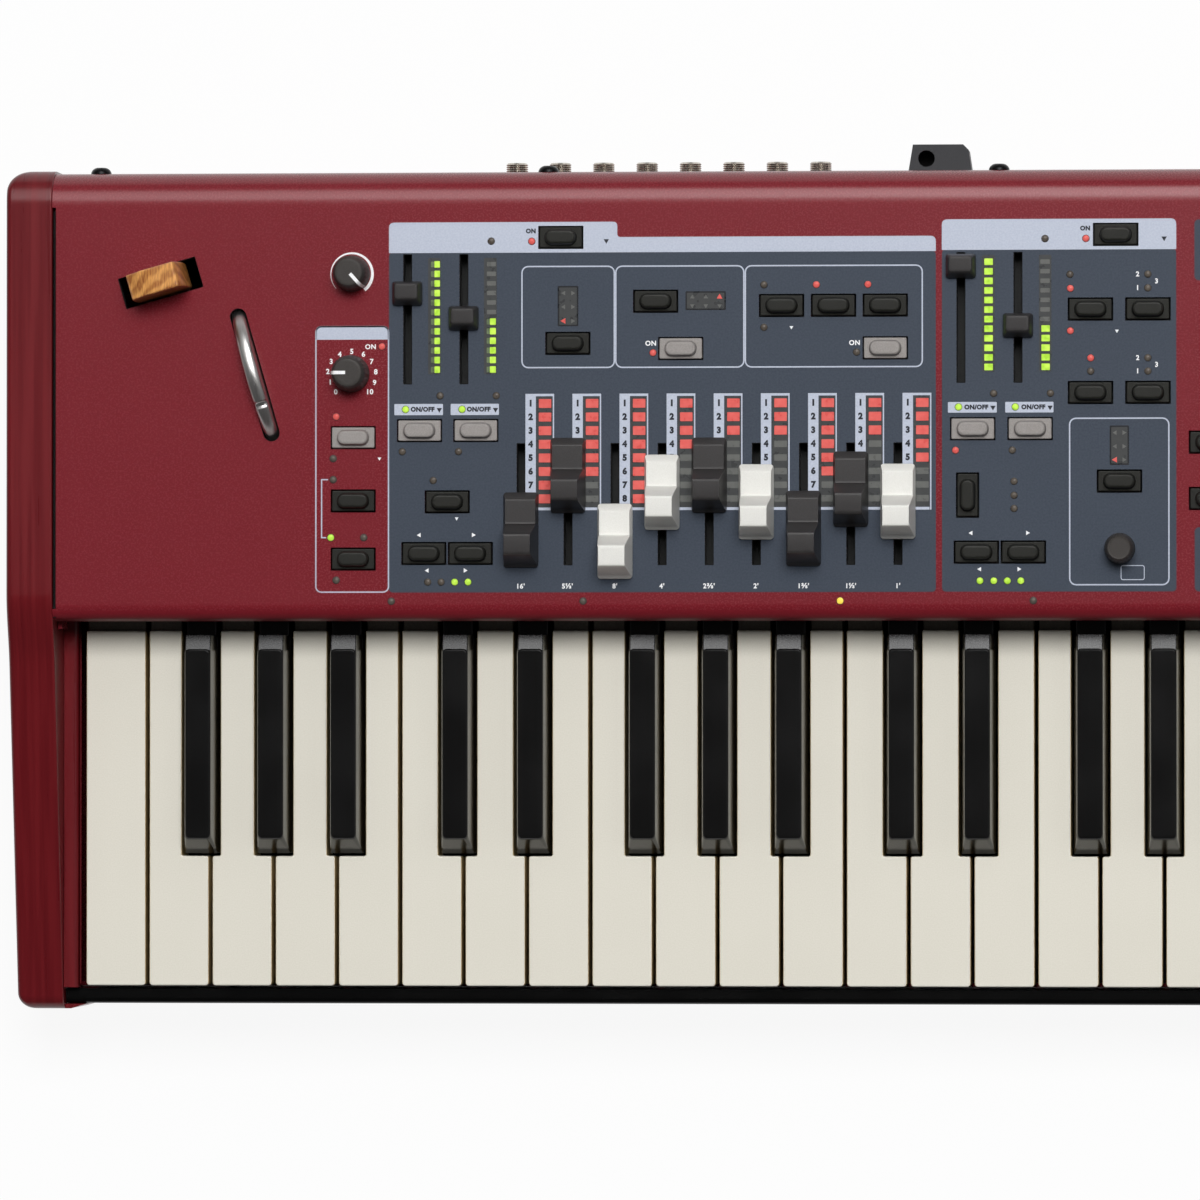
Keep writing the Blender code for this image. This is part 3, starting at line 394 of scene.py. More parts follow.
    # Oiled beech of the stick: growth rings cut aslant, so that fine lines run diagonally over the top
    tree, surface, place = newLook("oiled beech")
    turned = addNode(tree, "ShaderNodeMapping", {"Vector": place, "Rotation": (0.2, 0.5, math.radians(52))})
    rings = addNode(tree, "ShaderNodeTexWave", {
        "Vector": turned.outputs[0], "Scale": 1 / (13 * mm), "Distortion": 5.0, "Detail": 4.0,
        "Detail Scale": 1.6,
    }, wave_type="BANDS", bands_direction="X").outputs["Fac"]
    fibres = grainOf(tree, place, 0.5, (1, 9, 1), 3.0, (0, 0, math.radians(-38)))
    wood = addNode(tree, "ShaderNodeMath", {0: spread(tree, rings, 0, 0.45, 0, 1), 1: spread(tree, fibres, 0, 0.55)},
                   operation="ADD").outputs[0]
    tree.links.new(shades(tree, wood, "#86471B", "#E0A258"), surface.inputs["Base Color"])
    tree.links.new(spread(tree, fibres, 0.3, 0.4), surface.inputs["Roughness"])
    surface.inputs["Coat Weight"].default_value = 0.6
    surface.inputs["Coat Roughness"].default_value = 0.12
    relief(tree, surface, fibres, 0.02)

    # Lamps: a tinted epoxy lens, which glows when lit and looks grey-brown when not
    for name, dark, light, glow in (
        ("lit red lamp", "#D25651", "#DC6862", 0.06),
        ("lit green lamp", "#A2D43A", "#CBF25C", 0.15),
        ("lit yellow lamp", "#F2C42A", "#FFF27A", 0.2),
        ("dim green lens", "#56624A", "#6E7F5C", 0.0),
        ("dark lamp", "#4C453F", "#5E574F", 0.0),
        ("dark segment", "#3D3E3F", "#424343", 0.0),
        ("window rim", "#1B1C1F", "#232427", 0.0),
        ("grey segment", "#5E5F5D", "#656663", 0.0),
        ("lit display dots", "#A9D4F2", "#DDF1FF", 0.5),
    ):
        tree, surface, place = newLook(name)
        resin = grainOf(tree, place, 2.2, detail=1.0)
        colour = shades(tree, spread(tree, resin, 0, 1, 0.1, 0.9), dark, light)
        tree.links.new(colour, surface.inputs["Base Color"])
        tree.links.new(colour, surface.inputs["Emission Color"])
        surface.inputs["Emission Strength"].default_value = glow
        surface.inputs["Specular IOR Level"].default_value = 0.3
        tree.links.new(spread(tree, resin, 0.25, 0.35, 0.1, 0.9), surface.inputs["Roughness"])


makeLooks()
print("materials made:", len(looks))


# Mesh tools: each adds one shape to a bmesh, in metres and in the frame's own place


def finishPiece(name, shape, look, body="chassis", bevel=0.0, segments=2, stands=(), angle=35):
    bmesh.ops.recalc_face_normals(shape, faces=shape.faces)
    mesh = bpy.data.meshes.new(name)
    shape.to_mesh(mesh)
    shape.free()
    return dress(name, mesh, look, body, bevel, segments, stands, angle)


def dress(name, data, look, body="chassis", bevel=0.0, segments=2, stands=(), angle=35):
    made = bpy.data.objects.new(name, data)
    scene.collection.objects.link(made)
    data.materials.append(looks[look])
    if isinstance(data, bpy.types.Mesh):
        data.shade_smooth()
        data.set_sharp_from_angle(angle=math.radians(angle))
        if bevel:
            edge = made.modifiers.new("edges", "BEVEL")
            edge.width = bevel * mm
            edge.segments = segments
            edge.limit_method = "ANGLE"
            edge.angle_limit = math.radians(angle)
            edge.harden_normals = True
    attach(made, body)
    if stands:
        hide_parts(*stands)
    return made


def evenly(made):
    # Large flat faces keep their own direction in the smooth shading
    even = made.modifiers.new("even shading", "WEIGHTED_NORMAL")
    even.weight = 100
    even.keep_sharp = True


def addPrism(shape, outline, low, high):
    # An upright body from a flat outline of (x, y) points
    bottom = [shape.verts.new((x, y, low)) for x, y in outline]
    upper = [shape.verts.new((x, y, high)) for x, y in outline]
    shape.faces.new(list(reversed(bottom)))
    shape.faces.new(upper)
    for i in range(len(outline)):
        j = (i + 1) % len(outline)
        shape.faces.new((bottom[i], bottom[j], upper[j], upper[i]))
    return bottom, upper


def addSide(shape, outline, low, high):
    # A body across X from a side outline of (y, z) points
    left = [shape.verts.new((low, y, z)) for y, z in outline]
    right = [shape.verts.new((high, y, z)) for y, z in outline]
    shape.faces.new(list(reversed(left)))
    shape.faces.new(right)
    for i in range(len(outline)):
        j = (i + 1) % len(outline)
        shape.faces.new((left[i], left[j], right[j], right[i]))
    return left, right


def strip(x0, y0, x1, y1):
    return [(x0, y0), (x1, y0), (x1, y1), (x0, y1)]


def addBox(shape, low, high):
    return addPrism(shape, [(low[0], low[1]), (high[0], low[1]), (high[0], high[1]), (low[0], high[1])],
                    low[2], high[2])


def addLevels(shape, levels):
    # A body through outlines of equally many (x, y) points, each given with its height, from the lowest up
    loops = [[shape.verts.new((x, y, z)) for x, y in outline] for outline, z in levels]
    count = len(loops[0])
    shape.faces.new(list(reversed(loops[0])))
    for under, over in zip(loops, loops[1:]):
        for i in range(count):
            j = (i + 1) % count
            shape.faces.new((under[i], under[j], over[j], over[i]))
    shape.faces.new(loops[-1])


def addAlong(shape, outline, y0, y1):
    # A body along Y from an upright outline of (x, z) points
    near = [shape.verts.new((x, y0, z)) for x, z in outline]
    far = [shape.verts.new((x, y1, z)) for x, z in outline]
    shape.faces.new(near)
    shape.faces.new(list(reversed(far)))
    for i in range(len(outline)):
        j = (i + 1) % len(outline)
        shape.faces.new((near[i], far[i], far[j], near[j]))


def addTurned(shape, profile, centre, steps=32, turn=Matrix.Identity(3)):
    # A profile of (radius, height) points spun round an upright axis, then turned
    rings = []
    for radius, height in profile:
        count = 1 if radius < 1e-7 else steps
        ring = []
        for k in range(count):
            a = 2 * math.pi * k / steps
            local = Vector((radius * math.cos(a), radius * math.sin(a), height))
            ring.append(shape.verts.new(Vector(centre) + turn @ local))
        rings.append(ring)
    for lower, upper in zip(rings, rings[1:]):
        for k in range(steps):
            j = (k + 1) % steps
            corners = [lower[k % len(lower)], lower[j % len(lower)], upper[j % len(upper)], upper[k % len(upper)]]
            face = list(dict.fromkeys(corners))
            if len(face) > 2:
                shape.faces.new(face)


def roundedBox(low, high, radius, steps=5):
    corners = [
        (high.x - radius, high.y - radius, 0),
        (low.x + radius, high.y - radius, 90),
        (low.x + radius, low.y + radius, 180),
        (high.x - radius, low.y + radius, 270),
    ]
    points = []
    for x, y, start in corners:
        for k in range(steps + 1):
            a = math.radians(start + 90 * k / steps)
            points.append((x + radius * math.cos(a), y + radius * math.sin(a)))
    return points


def block(middle, width, depth, radius, steps=5):
    half = Vector((width, depth)) * mm / 2
    return roundedBox(middle - half, middle + half, radius * mm, steps)


def inkSheet(name, outlines, look, level, body="chassis"):
    # Ink or film on the panel: a filled outline, with a hole wherever another outline lies inside it
    curve = bpy.data.curves.new(name, "CURVE")
    curve.dimensions = "2D"
    curve.fill_mode = "BOTH"
    curve.extrude = 0.01 * mm
    for outline in outlines:
        spline = curve.splines.new("POLY")
        spline.points.add(len(outline) - 1)
        for point, (x, y) in zip(spline.points, outline):
            point.co = (x, y, 0, 1)
        spline.use_cyclic_u = True
    drawn = bpy.data.objects.new(name, curve)
    scene.collection.objects.link(drawn)
    bpy.context.view_layer.update()
    mesh = bpy.data.meshes.new_from_object(drawn.evaluated_get(bpy.context.evaluated_depsgraph_get()))
    bpy.data.objects.remove(drawn, do_unlink=True)
    bpy.data.curves.remove(curve)
    mesh.transform(Matrix.Translation((0, 0, panelTop + level * mm)))
    shape = bmesh.new()
    shape.from_mesh(mesh)
    bmesh.ops.remove_doubles(shape, verts=shape.verts, dist=0.000001)
    return finishPiece(name, shape, look, body)


def frameLine(low, high, radius, width=0.45):
    # Two outlines that make a thin frame
    w = Vector((width, width)) * mm / 2
    return [roundedBox(low - w, high + w, radius * mm + w.x), roundedBox(low + w, high - w, radius * mm - w.x)]


inkLevels = {"field": 0.02, "pale": 0.05, "dark": 0.08}


# Keys

whiteKey = {"bottom": 44, "cornerRadius": 1.2, "notchRadius": 0.6, "bevel": 0.55, "capEnd": -1.5, "leverTop": 61.5,
            "leverEnd": 12, "leverPlay": 0.3}
blackKey = {"bottom": 47, "frontSlope": 5.8, "rearSlope": 5.4, "topWidth": 9.3, "baseWidth": 12.6, "rearGap": 3,
            "rearDrop": 1.3}
whiteNames = "EFGABCD"
blackShifts = {"F": -3.5, "G": 0.0, "A": 3.5, "C": -2.2, "D": 2.2}
whiteCount = 43
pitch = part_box("white_key_2")[0].x - keyLow.x
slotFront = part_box("black_key_1")[0].y - 0.9 * mm
slotHalf = 7.2 * mm


def blackX(i):
    name = whiteNames[i % 7]
    if i < 0 or i >= whiteCount - 1 or name not in blackShifts:
        return None
    gap = (pitch - (keyHigh.x - keyLow.x)) / 2
    return keyLow.x - gap + (i + 1) * pitch + blackShifts[name] * mm


def arcPoints(x, y, radius, start, end, steps=4):
    turns = (math.radians(start + (end - start) * k / steps) for k in range(steps + 1))
    return [(x + radius * math.cos(a), y + radius * math.sin(a)) for a in turns]


def whiteOutline(i):
    left = keyLow.x + i * pitch
    right = left + keyHigh.x - keyLow.x
    front = keyLow.y
    back = panelLow.y + whiteKey["capEnd"] * mm
    r = whiteKey["cornerRadius"] * mm
    n = whiteKey["notchRadius"] * mm
    points = arcPoints(left + r, front + r, r, 180, 270)
    points += arcPoints(right - r, front + r, r, 270, 360)
    if blackX(i) is not None:
        inner = blackX(i) - slotHalf
        points += arcPoints(right - n, slotFront - n, n, 0, 90, 2)
        points += arcPoints(inner + n, slotFront + n, n, 270, 180, 2)
        points.append((inner, back))
    else:
        points.append((right, back))
    if blackX(i - 1) is not None:
        inner = blackX(i - 1) + slotHalf
        points.append((inner, back))
        points += arcPoints(inner - n, slotFront + n, n, 0, -90, 2)
        points += arcPoints(left + n, slotFront - n, n, 90, 180, 2)
    else:
        points.append((left, back))
    return points


def paintNew(shape, count, index):
    # The faces that were added after this count get another of the piece's materials
    shape.faces.ensure_lookup_table()
    for face in shape.faces[count:]:
        face.material_index = index


def makeWhiteKey(i):
    single = i < 7
    body = f"white_key_{i + 1}" if single else "white_keys_upper"
    shape = bmesh.new()
    outline = whiteOutline(i)
    addPrism(shape, outline, whiteKey["bottom"] * mm, keyHigh.z)
    count = len(shape.faces)
    # Behind the cap the bare lever runs on, a step lower, under the panel; its darker colour is partly painted shade
    # there
    capEnd = max(y for _, y in outline)
    ends = [x for x, y in outline if y == capEnd]
    play = whiteKey["leverPlay"] * mm
    addBox(shape, (min(ends) + play, capEnd - mm, (whiteKey["bottom"] + 0.5) * mm),
           (max(ends) - play, panelLow.y + whiteKey["leverEnd"] * mm, whiteKey["leverTop"] * mm))
    paintNew(shape, count, 1)
    made = finishPiece(f"whiteKey_{i + 1:02d}", shape, "moulded ivory key plastic", body,
                       whiteKey["bevel"], 3, (body,), 50)
    made.data.materials.append(looks["key lever plastic, painted shade"])


def makeBlackKey(i, number):
    single = number <= 5
    body = f"black_key_{number}" if single else "black_keys_upper"
    x = blackX(i)
    front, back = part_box("black_key_1")[0].y, panelLow.y - blackKey["rearGap"] * mm
    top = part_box("black_key_1")[1].z
    base, upper = blackKey["baseWidth"] * mm, blackKey["topWidth"] * mm
    topFront, topBack = front + blackKey["frontSlope"] * mm, back - blackKey["rearSlope"] * mm
    shape = bmesh.new()
    # The cap: levels from the foot to the top, which narrow upwards and end in a rounded rim
    levels = []
    for z, width, y0, y1, radius in (
        (keyHigh.z - 2 * mm, base, front, topBack + 0.4 * mm, 0.5),
        (top - 1.5 * mm, upper + 0.45 * mm, topFront - 0.7 * mm, topBack + 0.1 * mm, 1.5),
        (top - 0.7 * mm, upper + 0.1 * mm, topFront - 0.15 * mm, topBack, 1.6),
        (top - 0.2 * mm, upper - 0.5 * mm, topFront + 0.35 * mm, topBack - 0.2 * mm, 1.4),
        (top, upper - 1.4 * mm, topFront + 1.0 * mm, topBack - 0.6 * mm, 1.0),
    ):
        levels.append((roundedBox(Vector((x - width / 2, y0)), Vector((x + width / 2, y1)), radius * mm, 4), z))
    addLevels(shape, levels)
    low, half = blackKey["bottom"] * mm, base / 2 - 0.2 * mm
    addBox(shape, (x - half, front + 0.2 * mm, low), (x + half, back - mm, keyHigh.z - 1.5 * mm))
    tail = half - 0.6 * mm
    addBox(shape, (x - tail, back - 2 * mm, low), (x + tail, panelLow.y + 12 * mm, keyHigh.z - mm))
    # The slope down to the panel is a little less glossy and painted a lighter grey: a painted highlight
    count = len(shape.faces)
    _, roof = addPrism(shape, strip(x - upper / 2 - 1.2 * mm, topBack - 2.2 * mm, x + upper / 2 + 1.2 * mm, back),
                       keyHigh.z - 1.8 * mm, top - 0.6 * mm)
    for vertex in roof:
        vertex.co.x = x + math.copysign(upper / 2, vertex.co.x - x)
        vertex.co.z -= blackKey["rearDrop"] * mm if vertex.co.y > topBack else 0
    shape.normal_update()
    for face in shape.faces[count:]:
        face.material_index = 1 if face.normal.z > 0.5 else 0
    made = finishPiece(f"blackKey_{number:02d}", shape, "polished black key plastic", body,
                       0.3, 2, (body,), 40)
    made.data.materials.append(looks["black key plastic, painted highlight"])
    evenly(made)


def makeKeys():
    for i in range(whiteCount):
        makeWhiteKey(i)
    number = 0
    for i in range(whiteCount):
        if blackX(i) is not None:
            number += 1
            makeBlackKey(i, number)
    print("keys made:", whiteCount, "white,", number, "black")


makeKeys()


# Buttons

button = {"width": 15.6, "depth": 7.5, "holeWidth": 16.6, "holeDepth": 8.5, "rise": 0.6, "crownWidth": 12.0,
          "crownDepth": 6.0, "crown": [(0, 0.3), (0.2, 1.2), (0.45, 3.0), (0.6, 3.5), (0.9, 3.75), (1.4, 3.85)],
          "bottom": -2.2, "bevel": 0.35}
rowFront, rowRear = 26.35, 71.35
faderColumns = (459.5, 438.5, 417.5)
synthColumns = (*faderColumns, 381.5, 351.5, 321.5, 291.5, 261.5)
effectColumns = (211.5, 171.5, 131.5, 91.5, 51.5)

# For each section its key mat, and the dark and the grey buttons on it
buttonPlaces = {
    "rotary": {
        "dark": [fromLeft(109.8, 45.65), fromLeft(109.8, 24.35)],
        "grey": [fromLeft(109.8, 68.85)],
    },
    "organ": {
        "dark": [fromLeft(*p) for p in (
            (186.1, 141.95), (188.7, 103.15), (220.9, 118.45), (267, 116.75), (286, 116.75), (304.9, 116.75),
            (144.4, 45.25), (135.8, rowFront), (152.9, rowFront),
        )],
        "grey": [fromLeft(*p) for p in ((230.1, 101.15), (304.9, 101.15), (134.2, rowRear), (154.9, rowRear))],
    },
    "piano": {
        "dark": [fromLeft(*p) for p in (
            (388.9, 142.25), (379.7, 115.05), (400.6, 115.05), (379.7, 84.65), (400.6, 84.65), (338.1, 26.55),
            (355.2, 26.55), (390.2, 52.35),
        )],
        "grey": [fromLeft(336.8, 71.55), fromLeft(357.7, 71.55)],
    },
    "program": {
        "dark": [fromLeft(423.7 + 20 * k, y) for y in (66.45, 45.95) for k in range(6)],
        "grey": [],
    },
    "synth": {
        "dark": [fromRight(x, rowFront) for x in synthColumns] + [fromRight(x, rowRear) for x in synthColumns[3:]],
        "grey": [fromRight(x, rowRear) for x in faderColumns],
    },
    "effects": {
        "dark": [fromRight(x, y) for y in (101.95, rowFront) for x in effectColumns],
        "grey": [fromRight(x, 45.95) for x in effectColumns],
    },
}
uprightButton = fromLeft(334.9, 47.35)


def addButton(shape, place, upright=False):
    turn = (lambda w, d: (d, w)) if upright else (lambda w, d: (w, d))
    base = block(place, *turn(button["width"], button["depth"]), 0.4, 2)
    addPrism(shape, base, panelTop + button["bottom"] * mm, panelTop + button["rise"] * mm)
    levels = []
    for inset, rise in button["crown"]:
        size = turn(button["crownWidth"] - 2 * inset, button["crownDepth"] - 2 * inset)
        levels.append((block(place, *size, min(size) * 0.46, 6), panelTop + rise * mm))
    addLevels(shape, levels)


def makeButtons():
    for section, kinds in buttonPlaces.items():
        body = section + "_keymat"
        for kind, places in kinds.items():
            if not places:
                continue
            shape = bmesh.new()
            for place in places:
                addButton(shape, place)
            if section == "piano" and kind == "dark":
                addButton(shape, uprightButton, True)
            evenly(finishPiece(f"{section}Buttons_{kind}", shape, f"{kind} silicone rubber", body,
                               button["bevel"], 3, (body,), 50))


makeButtons()
print("buttons made")


# The CAD's own solids, where their shape stays

nodeLooks = {
    "base_pan": "powder-coated steel, red",
    "key_slip": "satin black lacquer",
    # Painted shade: the key frame is black so that the gaps between the keys read dark
    "key_frame": "black steel, painted shade",
    # Painted shade: the board is black so that the slots above it read dark
    "control_board": "black laminate, painted shade",
    "cable_anchor": "moulded black nylon",
    # Painted shade: the brackets under the stick and the wheel are black so that their slots read dark
    "stick_bracket": "black steel, painted shade",
    "wheel_bracket": "black steel, painted shade",
    "foot_front_left": "black foot rubber",
    "foot_front_right": "black foot rubber",
    "foot_rear_left": "black foot rubber",
    "foot_rear_right": "black foot rubber",
}


def dressNodes():
    for name, look in nodeLooks.items():
        for holder in nodes[name].material_slots:
            holder.material = looks[look]


dressNodes()


# Faders, drawbars, knobs


def boxMiddle(node):
    low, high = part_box(node)
    return (low + high) / 2


# Levels of a fader's cap: inset across, inset along, and height. Its top sits a little to the rear
faderCap = {"width": 11, "depth": 8.8, "lift": 0.5, "shift": 0.55, "stemWidth": 2.4, "stemDepth": 4,
            "levels": [(0.3, 0.3, 0), (0, 0, 0.4), (0.1, 0.15, 2.2), (0.75, 0.95, 5.2), (1.05, 1.3, 6.2),
                       (1.5, 1.8, 6.75), (2.4, 2.6, 6.85)]}
faderNames = ("organ_fader_a", "organ_fader_b", "piano_fader_a", "piano_fader_b", "synth_fader_a",
              "synth_fader_b", "synth_fader_c")


def makeFader(name):
    low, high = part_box(name)
    middle = (low + high) / 2
    base = panelTop + faderCap["lift"] * mm
    shape = bmesh.new()
    levels = []
    tallest = faderCap["levels"][-1][2]
    for insetX, insetY, rise in faderCap["levels"]:
        place = middle.xy + Vector((0, faderCap["shift"] * rise / tallest)) * mm
        outline = block(place, faderCap["width"] - 2 * insetX, faderCap["depth"] - 2 * insetY, 1.0, 4)
        levels.append((outline, base + rise * mm))
    addLevels(shape, levels)
    stem = Vector((faderCap["stemWidth"], faderCap["stemDepth"])) * mm / 2
    addBox(shape, (*(middle.xy - stem), low.z), (*(middle.xy + stem), base + mm))
    evenly(finishPiece(name.replace("_", "") + "Cap", shape, "spark-textured dark ABS", name, 0, 1,
                       (name,), 32))


# Side view of a drawbar cap, in millimetres from its middle and from its underside, with half the width there:
# a low tongue at the rear, and a tall grip that narrows upwards
drawbarCap = {
    "outline": [(13.8, 0, 6.45), (13.7, 0.8, 6.4), (13.2, 1.4, 6.3), (12.4, 2.3, 6.0), (11.3, 3.3, 5.6),
                (10.6, 3.6, 5.55), (3.0, 3.6, 5.55), (2.2, 3.8, 5.55), (1.8, 4.6, 5.7), (-1.2, 16.5, 5.15),
                (-1.9, 17.7, 4.95), (-2.7, 18.0, 4.8), (-8.3, 18.0, 4.8), (-9.1, 17.7, 4.95), (-9.8, 16.5, 5.1),
                (-12.3, 3.6, 5.9), (-12.9, 2.0, 6.2), (-13.4, 1.2, 6.35), (-13.7, 0.7, 6.4), (-13.8, 0, 6.45)],
    "footHalf": 6.45, "footLength": 13.8, "corner": 1.5, "bevel": 0.35, "lift": 0.5,
    "white": (3, 4, 6, 9),
}


def footEdge(y):
    # Half the foot's width at a distance from its middle, which the rounded corners take in
    r = drawbarCap["corner"]
    past = min(r, max(0, abs(y) - drawbarCap["footLength"] + r))
    return drawbarCap["footHalf"] - r + math.sqrt(r ** 2 - past ** 2)


def addCap(shape, middle, base):
    # The upper skin between the left and the right line of the outline, the flanks down to the foot, and the foot
    lines = []
    for side in (-1, 1):
        lines.append([shape.verts.new((middle.x + side * min(half, footEdge(y)) * mm, middle.y + y * mm, base + z * mm))
                      for y, z, half in drawbarCap["outline"]])
    left, right = lines
    count = len(left)
    for k in range(count - 1):
        shape.faces.new((left[k], right[k], right[k + 1], left[k + 1]))
    # The flank's foot: one point under each point of the line, on the straight lower edge
    for side, line in ((-1, left), (1, right)):
        foot = [line[0]]
        foot += [shape.verts.new((middle.x + side * footEdge(y) * mm, middle.y + y * mm, base))
                 for y, _, _ in drawbarCap["outline"][1:-1]]
        foot.append(line[-1])
        for k in range(count - 1):
            corners = [line[k], line[k + 1], foot[k + 1], foot[k]]
            corners = [v for n, v in enumerate(corners) if v not in corners[:n]]
            shape.faces.new(corners if side > 0 else corners[::-1])
        lines.append(foot)
    leftFoot, rightFoot = lines[2], lines[3]
    for k in range(count - 1):
        shape.faces.new((leftFoot[k], leftFoot[k + 1], rightFoot[k + 1], rightFoot[k]))


def makeDrawbar(number):
    name = f"drawbar_{number}"
    low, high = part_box(name)
    middle = (low + high) / 2
    base = panelTop + drawbarCap["lift"] * mm
    shape = bmesh.new()
    addCap(shape, middle, base)
    addBox(shape, (middle.x - 1.2 * mm, middle.y - 5 * mm, low.z), (middle.x + 1.2 * mm, middle.y + 5 * mm, base + mm))
    white = number in drawbarCap["white"]
    look = "spark-textured white ABS" if white else "spark-textured dark ABS"
    evenly(finishPiece(f"drawbar{number}Cap", shape, look, name,
                       drawbarCap["bevel"], 3, (name,), 30))


knobShape = {"ribs": 24, "ribDepth": 0.28, "skirt": 2.2, "chamferStart": 0.7, "topShare": 0.72, "bevel": 0.25}
knobAngles = {"master_level_knob": -48, "drive_knob": 180, "filter_knob": 118, "reverb_knob": 60}
knobDials = ("model_dial", "program_dial")


def makeKnob(name):
    low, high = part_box(name)
    middle = (low + high) / 2
    radius = (high.x - low.x) / 2
    base = panelTop + 0.6 * mm
    height = high.z - base
    shape = bmesh.new()
    # Rings from the skirt up. The ribs fade out into the chamfer, and the top is dished slightly
    rings = [
        (1.0, 0.0, 0.0),
        (1.0, 0.12, 0.0),
        (0.985, 0.2, 1.0),
        (0.95, knobShape["chamferStart"], 1.0),
        (0.9, 0.84, 0.4),
        (knobShape["topShare"] + 0.04, 0.985, 0.0),
        (knobShape["topShare"], 1.0, 0.0),
        (knobShape["topShare"] - 0.14, 0.985, 0.0),
    ]
    steps = knobShape["ribs"] * 4
    levels = []
    for share, rise, rib in rings:
        ring = []
        for k in range(steps):
            a = 2 * math.pi * k / steps
            cut = rib * knobShape["ribDepth"] * mm * (0.5 - 0.5 * math.cos(a * knobShape["ribs"]))
            r = radius * share - cut
            ring.append(shape.verts.new((middle.x + r * math.cos(a), middle.y + r * math.sin(a), base + rise * height)))
        levels.append(ring)
    shape.faces.new(list(reversed(levels[0])))
    for under, over in zip(levels, levels[1:]):
        for k in range(steps):
            j = (k + 1) % steps
            shape.faces.new((under[k], under[j], over[j], over[k]))
    shape.faces.new(levels[-1])
    addTurned(shape, [(0, low.z), (3 * mm, low.z), (3 * mm, base + mm), (0, base + mm)], (middle.x, middle.y, 0), 20)
    plain = name.replace("_", "")
    evenly(finishPiece(plain + "Cap", shape, "soft-touch knob rubber", name, 0, 1, (name,), 50))
    if name not in knobAngles:
        return
    # The pointer: a white inlay from near the middle of the top, over the chamfer
    turn = Matrix.Rotation(math.radians(knobAngles[name]), 3, "Z")
    shape = bmesh.new()
    half = 0.62 * mm
    lift = 0.12 * mm
    line = [
        (0.12, 0.985, 0.0), (knobShape["topShare"] - 0.13, 0.985, 0.0), (knobShape["topShare"], 1.0, 0.0),
        (knobShape["topShare"] + 0.04, 0.985, 0.0), (0.905, 0.84, 0.0), (0.96, knobShape["chamferStart"], 0.0),
        (0.99, 0.2, 0.0), (1.005, 0.03, 0.0),
    ]
    upper, under = [], []
    for share, rise, _ in line:
        for side in (-1, 1):
            at = turn @ Vector((radius * share, side * half, 0))
            z = base + rise * height
            upper.append(shape.verts.new((middle.x + at.x, middle.y + at.y, z + lift)))
            under.append(shape.verts.new((middle.x + at.x, middle.y + at.y, z - 0.3 * mm)))
    count = len(line)
    for k in range(count - 1):
        a, b, c, d = 2 * k, 2 * k + 1, 2 * k + 3, 2 * k + 2
        shape.faces.new((upper[a], upper[b], upper[c], upper[d]))
        shape.faces.new((under[d], under[c], under[b], under[a]))
        shape.faces.new((upper[b], under[b], under[c], upper[c]))
        shape.faces.new((upper[d], under[d], under[a], upper[a]))
    shape.faces.new((upper[1], upper[0], under[0], under[1]))
    shape.faces.new((upper[-2], upper[-1], under[-1], under[-2]))
    finishPiece(plain + "Pointer", shape, "white screen print", name, 0, 1, (), 50)


def makeCaps():
    for name in faderNames:
        makeFader(name)
    for number in range(1, 10):
        makeDrawbar(number)
    for name in (*knobAngles, *knobDials):
        makeKnob(name)


makeCaps()
print("faders, drawbars and knobs made")


# Pitch stick and modulation wheel

stick = {"tilt": 16, "width": 9.4, "hub": 6, "pin": 2.3, "bevel": 0.7,
         "left": [(-9.6, 117.0), (-10.2, 112.0), (-10.5, 105.0), (-10.5, 95.0)],
         "right": [(10.5, 95.0), (10.5, 101.0), (10.35, 105.0), (10.0, 110.0), (9.4, 115.0), (8.9, 118.5),
                   (8.3, 120.0)],
         "top": [(-3.5, 120.0)]}
wheel = {"radius": 30, "width": 5, "pin": 2.3, "notchAngle": 23, "notchRadius": 1.8, "notchReach": 30.8,
         "steps": 120, "tread": [(-2.5, 1.5), (-2.4, 1.05), (-2.1, 0.62), (-1.5, 0.26), (-0.8, 0.07), (0, 0)]}


def addRing(shape, outer, inner):
    # A closed band through the outer loops of points in turn and back through the inner ones
    loops = [[shape.verts.new(point) for point in loop] for loop in (*outer, *reversed(inner))]
    count = len(loops[0])
    for k, loop in enumerate(loops):
        following = loops[(k + 1) % len(loops)]
        for i in range(count):
            j = (i + 1) % count
            shape.faces.new((loop[i], loop[j], following[j], following[i]))


def circleFacing(centre, points, radius):
    # Points on a circle, each in the direction of one of the given points
    made = []
    for a, b in points:
        way = Vector((a - centre[0], b - centre[1])).normalized() * radius
        made.append((centre[0] + way.x, centre[1] + way.y))
    return made


def refined(points, longest):
    # The same closed outline with no edge longer than this
    made = []
    for k, point in enumerate(points):
        following = points[(k + 1) % len(points)]
        length = math.dist(point, following)
        parts = max(1, math.ceil(length / longest))
        for n in range(parts):
            share = n / parts
            made.append(tuple(a + (b - a) * share for a, b in zip(point, following)))
    return made


def makeStick():
    middle = boxMiddle("pitch_stick")
    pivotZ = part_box("pitch_stick")[0].z / mm + stick["hub"]
    outline = stick["top"] + stick["left"]
    outline += arcPoints(0, pivotZ, stick["hub"], 190, 350, 10)
    outline += stick["right"]
    outline = refined(outline, 4)
    inner = circleFacing((0, pivotZ), outline, stick["pin"])
    turn = Matrix.Translation((middle.x, middle.y, 0)) @ Matrix.Rotation(math.radians(stick["tilt"]), 4, "Z")
    half = stick["width"] / 2
    lay = lambda points, y: [turn @ (Vector((x, y, z)) * mm) for x, z in points]
    shape = bmesh.new()
    addRing(shape, (lay(outline, -half), lay(outline, half)), (lay(inner, -half), lay(inner, half)))
    finishPiece("pitchStickWood", shape, "oiled beech", "pitch_stick", stick["bevel"], 4,
                ("pitch_stick",), 50)


